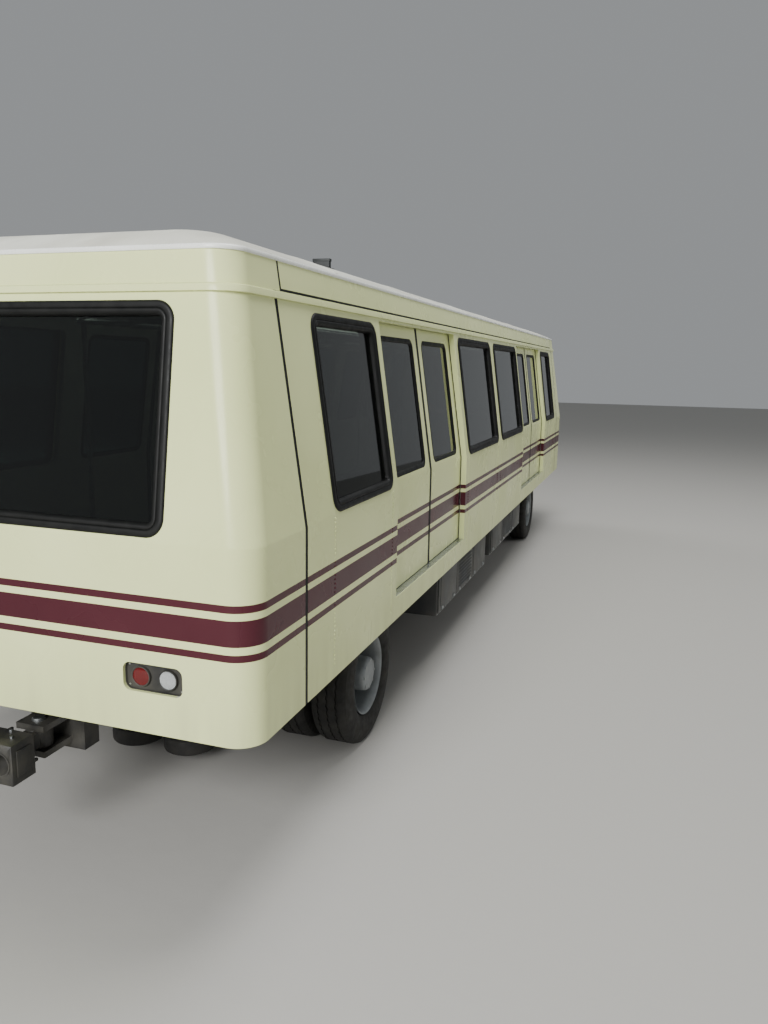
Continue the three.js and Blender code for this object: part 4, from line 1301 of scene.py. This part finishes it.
def makeRoofBoxes():
    # a thin dark housing across one corner of each end: case, overhanging lid and foot flange
    proud, wide, slope = roofBox["proud"], roofBox["flange"], roofBox["flangeSlope"]
    inner, outer, top = roofBox["inner"], roofBox["outer"], roofBox["top"]
    for end, side in (("front", "left"), ("rear", "right")):
        sign, across = ends[end], sides[side]
        x0, x1 = sign * roofBox["x"] - roofBox["half"], sign * roofBox["x"] + roofBox["half"]
        lid = sideBox(across, x0 - proud, x1 + proud, inner - proud, outer + proud, top - roofBox["lid"], top,
                      0.005)
        section = ((x0 - wide, -roofBox["flangeSink"]), (x1 + wide, -roofBox["flangeSink"]),
                   (x1 + wide - slope, roofBox["flangeRise"]), (x0 - wide + slope, roofBox["flangeRise"]))
        flange = loft([[(x, across * y, roofZ(skinY(body["roofEdge"]) - y) + dz) for x, dz in section]
                       for y in (inner - wide, outer + wide)])
        case = softened(f"roof_box_{end}", easing["roof_box"])
        addPiece(f"roofFitting_{end}", joinMeshes([case, lid, flange]), boxPaint, "car_body",
                 (f"roof_box_{end}",))


makeRoofBoxes()
print("roof fittings made")

cases = {
    "near": 0.56, "far": 1.33, "top": 0.9397,
    "rows": ((-2.25, -0.15, 0.48), (0.15, 2.25, 0.52)),  # from, to and lowest height
    "doors": 3, "gap": 0.012, "margin": 0.028, "doorRise": 0.014, "field": 0.05, "louvres": 9,
    "louvreMargin": 0.06, "louvreTurn": 0.7, "louvreSides": 0.13, "louvreDeep": 0.022, "louvreThick": 0.003,
    "proud": 0.003, "hinges": (0.18, 0.82), "hingeHalf": 0.04, "hingeRadius": 0.007,
    # latch and its button as (half width, from and to beyond the door, from and to over its edge, bevel)
    "latch": ((0.018, -0.002, 0.01, 0.008, 0.04, 0.004), (0.011, 0.008, 0.014, 0.012, 0.034, 0.003)),
    "boltPitch": 0.1, "boltMargin": 0.03, "boltUp": 0.014, "boltRadius": 0.007, "boltRise": 0.005,
    # between the rows: a hanging box each side, its two straps, and the duct that joins them
    "box": (0.6, 0.9, 0.6, 0.85), "boxHalf": 0.2, "straps": (-0.144, 0.136), "strapWidth": 0.008,
    "strapProud": 0.02, "duct": (0.16, 0.62, 0.64, 0.82),
}


def makeCaseDoor(sign, a, b, z0, z1, louvred):
    # one door from a to b with its hinges and latches, as case metal and plated fittings
    far, field, proud = cases["far"], cases["field"], cases["proud"]
    panels = [sideBox(sign, a, b, far - cases["doorRise"] - 0.004, far, z0, z1, 0.005)]
    if louvred:
        margin = cases["louvreMargin"]
        panels.append(runTree(
            slatTree, count=cases["louvres"], start=((a + b) / 2, sign * (far + proud), z0 + margin),
            step=(0, 0, (z1 - z0 - 2 * margin) / (cases["louvres"] - 1)),
            size=(b - a - cases["louvreSides"], cases["louvreDeep"], cases["louvreThick"]),
            turn=(-sign * cases["louvreTurn"], 0, 0), material=casePaint))
    else:  # a pressed field
        panels.append(sideBox(sign, a + field, b - field, far - 0.003, far + 0.005, z0 + field, z1 - field,
                              0.004))
    fittings = []
    for x in (a + share * (b - a) for share in cases["hinges"]):
        fittings.append(tube(*((x + way * cases["hingeHalf"], sign * (far + proud), z1 - 0.004)
                               for way in (-1, 1)), cases["hingeRadius"], 14))
        for half, near, out, low, high, bevel in cases["latch"]:
            fittings.append(sideBox(sign, x - half, x + half, far + near, far + out, z0 + low, z0 + high,
                                    bevel))
    return panels, fittings


def makeCases():
    shells, fittings = [], []
    far, top, rise, margin = (cases[key] for key in ("far", "top", "doorRise", "margin"))
    count, gap = cases["doors"], cases["gap"]
    for sign in sides.values():
        for x0, x1, low in cases["rows"]:
            shells.append(sideBox(sign, x0, x1, cases["near"], far - rise, low, top, 0.012))
            width = (x1 - x0 - 2 * margin - (count - 1) * gap) / count
            for i in range(count):
                a = x0 + margin + i * (width + gap)
                panels, metal = makeCaseDoor(sign, a, a + width, low + margin, top - margin, i == 1)
                shells += panels
                fittings += metal
            inside = cases["boltMargin"]
            fittings.append(runTree(
                rivetTree, count=int((x1 - x0 - 2 * inside) / cases["boltPitch"]) + 1,
                start=(x0 + inside, sign * (far - rise), low + cases["boltUp"]),
                step=(cases["boltPitch"], 0, 0), facing=(0, sign, 0), radius=cases["boltRadius"],
                rise=cases["boltRise"], material=plateSteel))
        near, out, bottom, lid = cases["box"]
        more = cases["strapProud"]
        shells.append(sideBox(sign, -cases["boxHalf"], cases["boxHalf"], near, out, bottom, lid, 0.01))
        for x in cases["straps"]:
            shells.append(sideBox(sign, x, x + cases["strapWidth"], near - more, out + more, bottom - more,
                                  lid + more, 0.002))
    x, y, low, high = cases["duct"]
    shells.append(boxMesh((-x, -y, low), (x, y, high), 0.01))
    addPiece("equipmentCases", joinMeshes(shells), casePaint, "car_body", ("equipment_cases",))
    addPiece("caseFittings", joinMeshes(fittings), plateSteel, "car_body")


makeCases()
print("equipment cases made")

coupler = {
    "z": 0.685, "face": 6.06, "head": 5.9, "halfWidth": 0.13, "funnelY": 0.05, "pinX": 5.72,
    # sections as (radius, distance out of the face or up the pin)
    "funnel": ((0.022, -0.075), (0.03, -0.06), (0.055, -0.004), (0.062, 0.02)),
    "rim": ((0.0575, -0.001), (0.066, -0.001), (0.066, 0.003), (0.0585, 0.003)),
    "pin": ((0.0, 0.09), (0.036, 0.09), (0.036, 0.099), (0.03, 0.105), (0.0, 0.105)),
    "slot": (-0.1, -0.03, 0.03), "rib": 0.075, "ribHalf": 0.008, "plateProud": 0.006, "plateHalf": 0.07,
    "bolts": (4, 0.06, 0.009, 0.012, 0.799),  # count, circle, radius, height, middle
}


def makeCouplers():
    face, head, z = coupler["face"], coupler["head"], coupler["z"]
    atFunnel = Matrix.Translation((face, coupler["funnelY"], z)) @ Matrix.Rotation(math.pi / 2, 4, "Y")
    slotLow, slotHigh, deep = coupler["slot"]
    cutters = [moved(lathe(coupler["funnel"], 32), atFunnel),
               boxMesh((face - deep, slotLow, z - deep), (face + deep, slotHigh, z + deep), 0.006)]
    parts = [moved(lathe(coupler["rim"], 40, closed=True), atFunnel)]
    # ribs on the back of the head and cover plates over its latch
    half = coupler["ribHalf"]
    for across in (-1, 1):
        for level in (-1, 1):
            y, ribZ = across * coupler["rib"], z + level * coupler["rib"]
            parts.append(boxMesh((head - 0.07, y - half, ribZ - half), (head + 0.004, y + half, ribZ + half),
                                 0.003))
        near, far = sorted(across * (coupler["halfWidth"] + more) for more in (-0.001, coupler["plateProud"]))
        parts.append(boxMesh((head + 0.03, near, z - coupler["plateHalf"]),
                             (face - 0.03, far, z + coupler["plateHalf"]), 0.003))
    fittings = joinMeshes(parts)
    bolts = moved(boltRing(*coupler["bolts"]), Matrix.Translation(((head + face) / 2, 0, 0)))
    pin = lathe(coupler["pin"], 24)
    for end, sign in ends.items():
        block = softened(f"coupler_{end}", easing["coupler"])
        block = finishMesh(carve(block, [placed(cutter, sign) for cutter in cutters]), 32)
        addPiece(f"couplerHead_{end}", joinMeshes([block, placed(fittings, sign)]), chassisPaint,
                 f"coupling_{end}", (f"coupler_{end}",))
        addPiece(f"couplerBolts_{end}", placed(bolts, sign), plateSteel, f"coupling_{end}")
        addPiece(f"couplerPinHead_{end}", moved(pin, Matrix.Translation((sign * coupler["pinX"], 0, z))),
                 plateSteel, "car_body")


makeCouplers()
print("couplers made")

bogie = {
    "halfWidth": 0.57, "axle": 0.5, "plate": 0.008,
    # sections as (radius, height): collar and groove of the slewing ring, split line of the axle housing
    "collar": ((0.418, 0.8), (0.465, 0.8), (0.465, 0.82), (0.46, 0.825), (0.418, 0.825)),
    "groove": ((0.4195, 0.845), (0.43, 0.848), (0.43, 0.878), (0.4195, 0.881)),
    "split": ((0.212, -0.016), (0.244, -0.016), (0.246, -0.013), (0.246, 0.013), (0.244, 0.016),
              (0.212, 0.016)),
    "ringBolts": (24, 0.444, 0.011, 0.03, 0.828), "splitBolts": (18, 0.231, 0.008, 0.05, 0.0),
    # cover plates on the side beams as (x0, x1, z0, z1), and the head of their bolts
    "plates": ((-0.16, 0.16, 0.63, 0.73), (-0.76, -0.6, 0.635, 0.725), (0.6, 0.76, 0.635, 0.725)),
    "boltHead": ((0.012, 0.0), (0.012, 0.008), (0.009, 0.0095), (0.0, 0.0095)),
    "boltX": 0.025, "boltZ": 0.022,
}


def makeBogies():
    half, thick = bogie["halfWidth"], bogie["plate"]
    head = lathe(bogie["boltHead"], 6)
    # about the bogie's pivot, then about its axle
    collars = [lathe(bogie[key], 72, closed=True) for key in ("collar", "groove")]
    split = lathe(bogie["split"], 48, closed=True)
    ringBolts, splitBolts = boltRing(*bogie["ringBolts"]), boltRing(*bogie["splitBolts"])
    plates, plateBolts = [], []
    for side in (-1, 1):
        for x0, x1, z0, z1 in bogie["plates"]:
            plates.append(sideBox(side, x0, x1, half - 0.002, half + thick, z0, z1, 0.003))
            for x in (x0 + bogie["boltX"], x1 - bogie["boltX"]):
                for z in (z0 + bogie["boltZ"], z1 - bogie["boltZ"]):
                    put = Matrix.Translation((x, side * (half + thick), z))
                    plateBolts.append(moved(head, put @ Matrix.Rotation(-side * math.pi / 2, 4, "X")))
    for end, sign in ends.items():
        put = Matrix.Translation((sign * wheel["centreX"], 0, 0))
        turn = put @ Matrix.Translation((0, 0, bogie["axle"])) @ Matrix.Rotation(math.pi / 2, 4, "X")
        parts = [softened(f"bogie_frame_{end}", easing["bogie_frame"])] + [moved(m, put) for m in collars]
        parts += [moved(split, turn)] + [moved(m, put) for m in plates]
        addPiece(f"bogieFrame_{end}", joinMeshes(parts), chassisPaint, f"bogie_{end}",
                 (f"bogie_frame_{end}",))
        bolts = [moved(ringBolts, put), moved(splitBolts, turn)] + [moved(m, put) for m in plateBolts]
        addPiece(f"bogieBolts_{end}", joinMeshes(bolts), plateSteel, f"bogie_{end}")
    addPiece("underframeBeams", softened("underframe", easing["underframe"]), chassisPaint, "car_body",
             ("underframe",))


makeBogies()
print("bogies and underframe made")

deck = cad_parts["floor_deck"].data
deck.materials.clear()
deck.materials.append(floorCover)
print("floor covered")
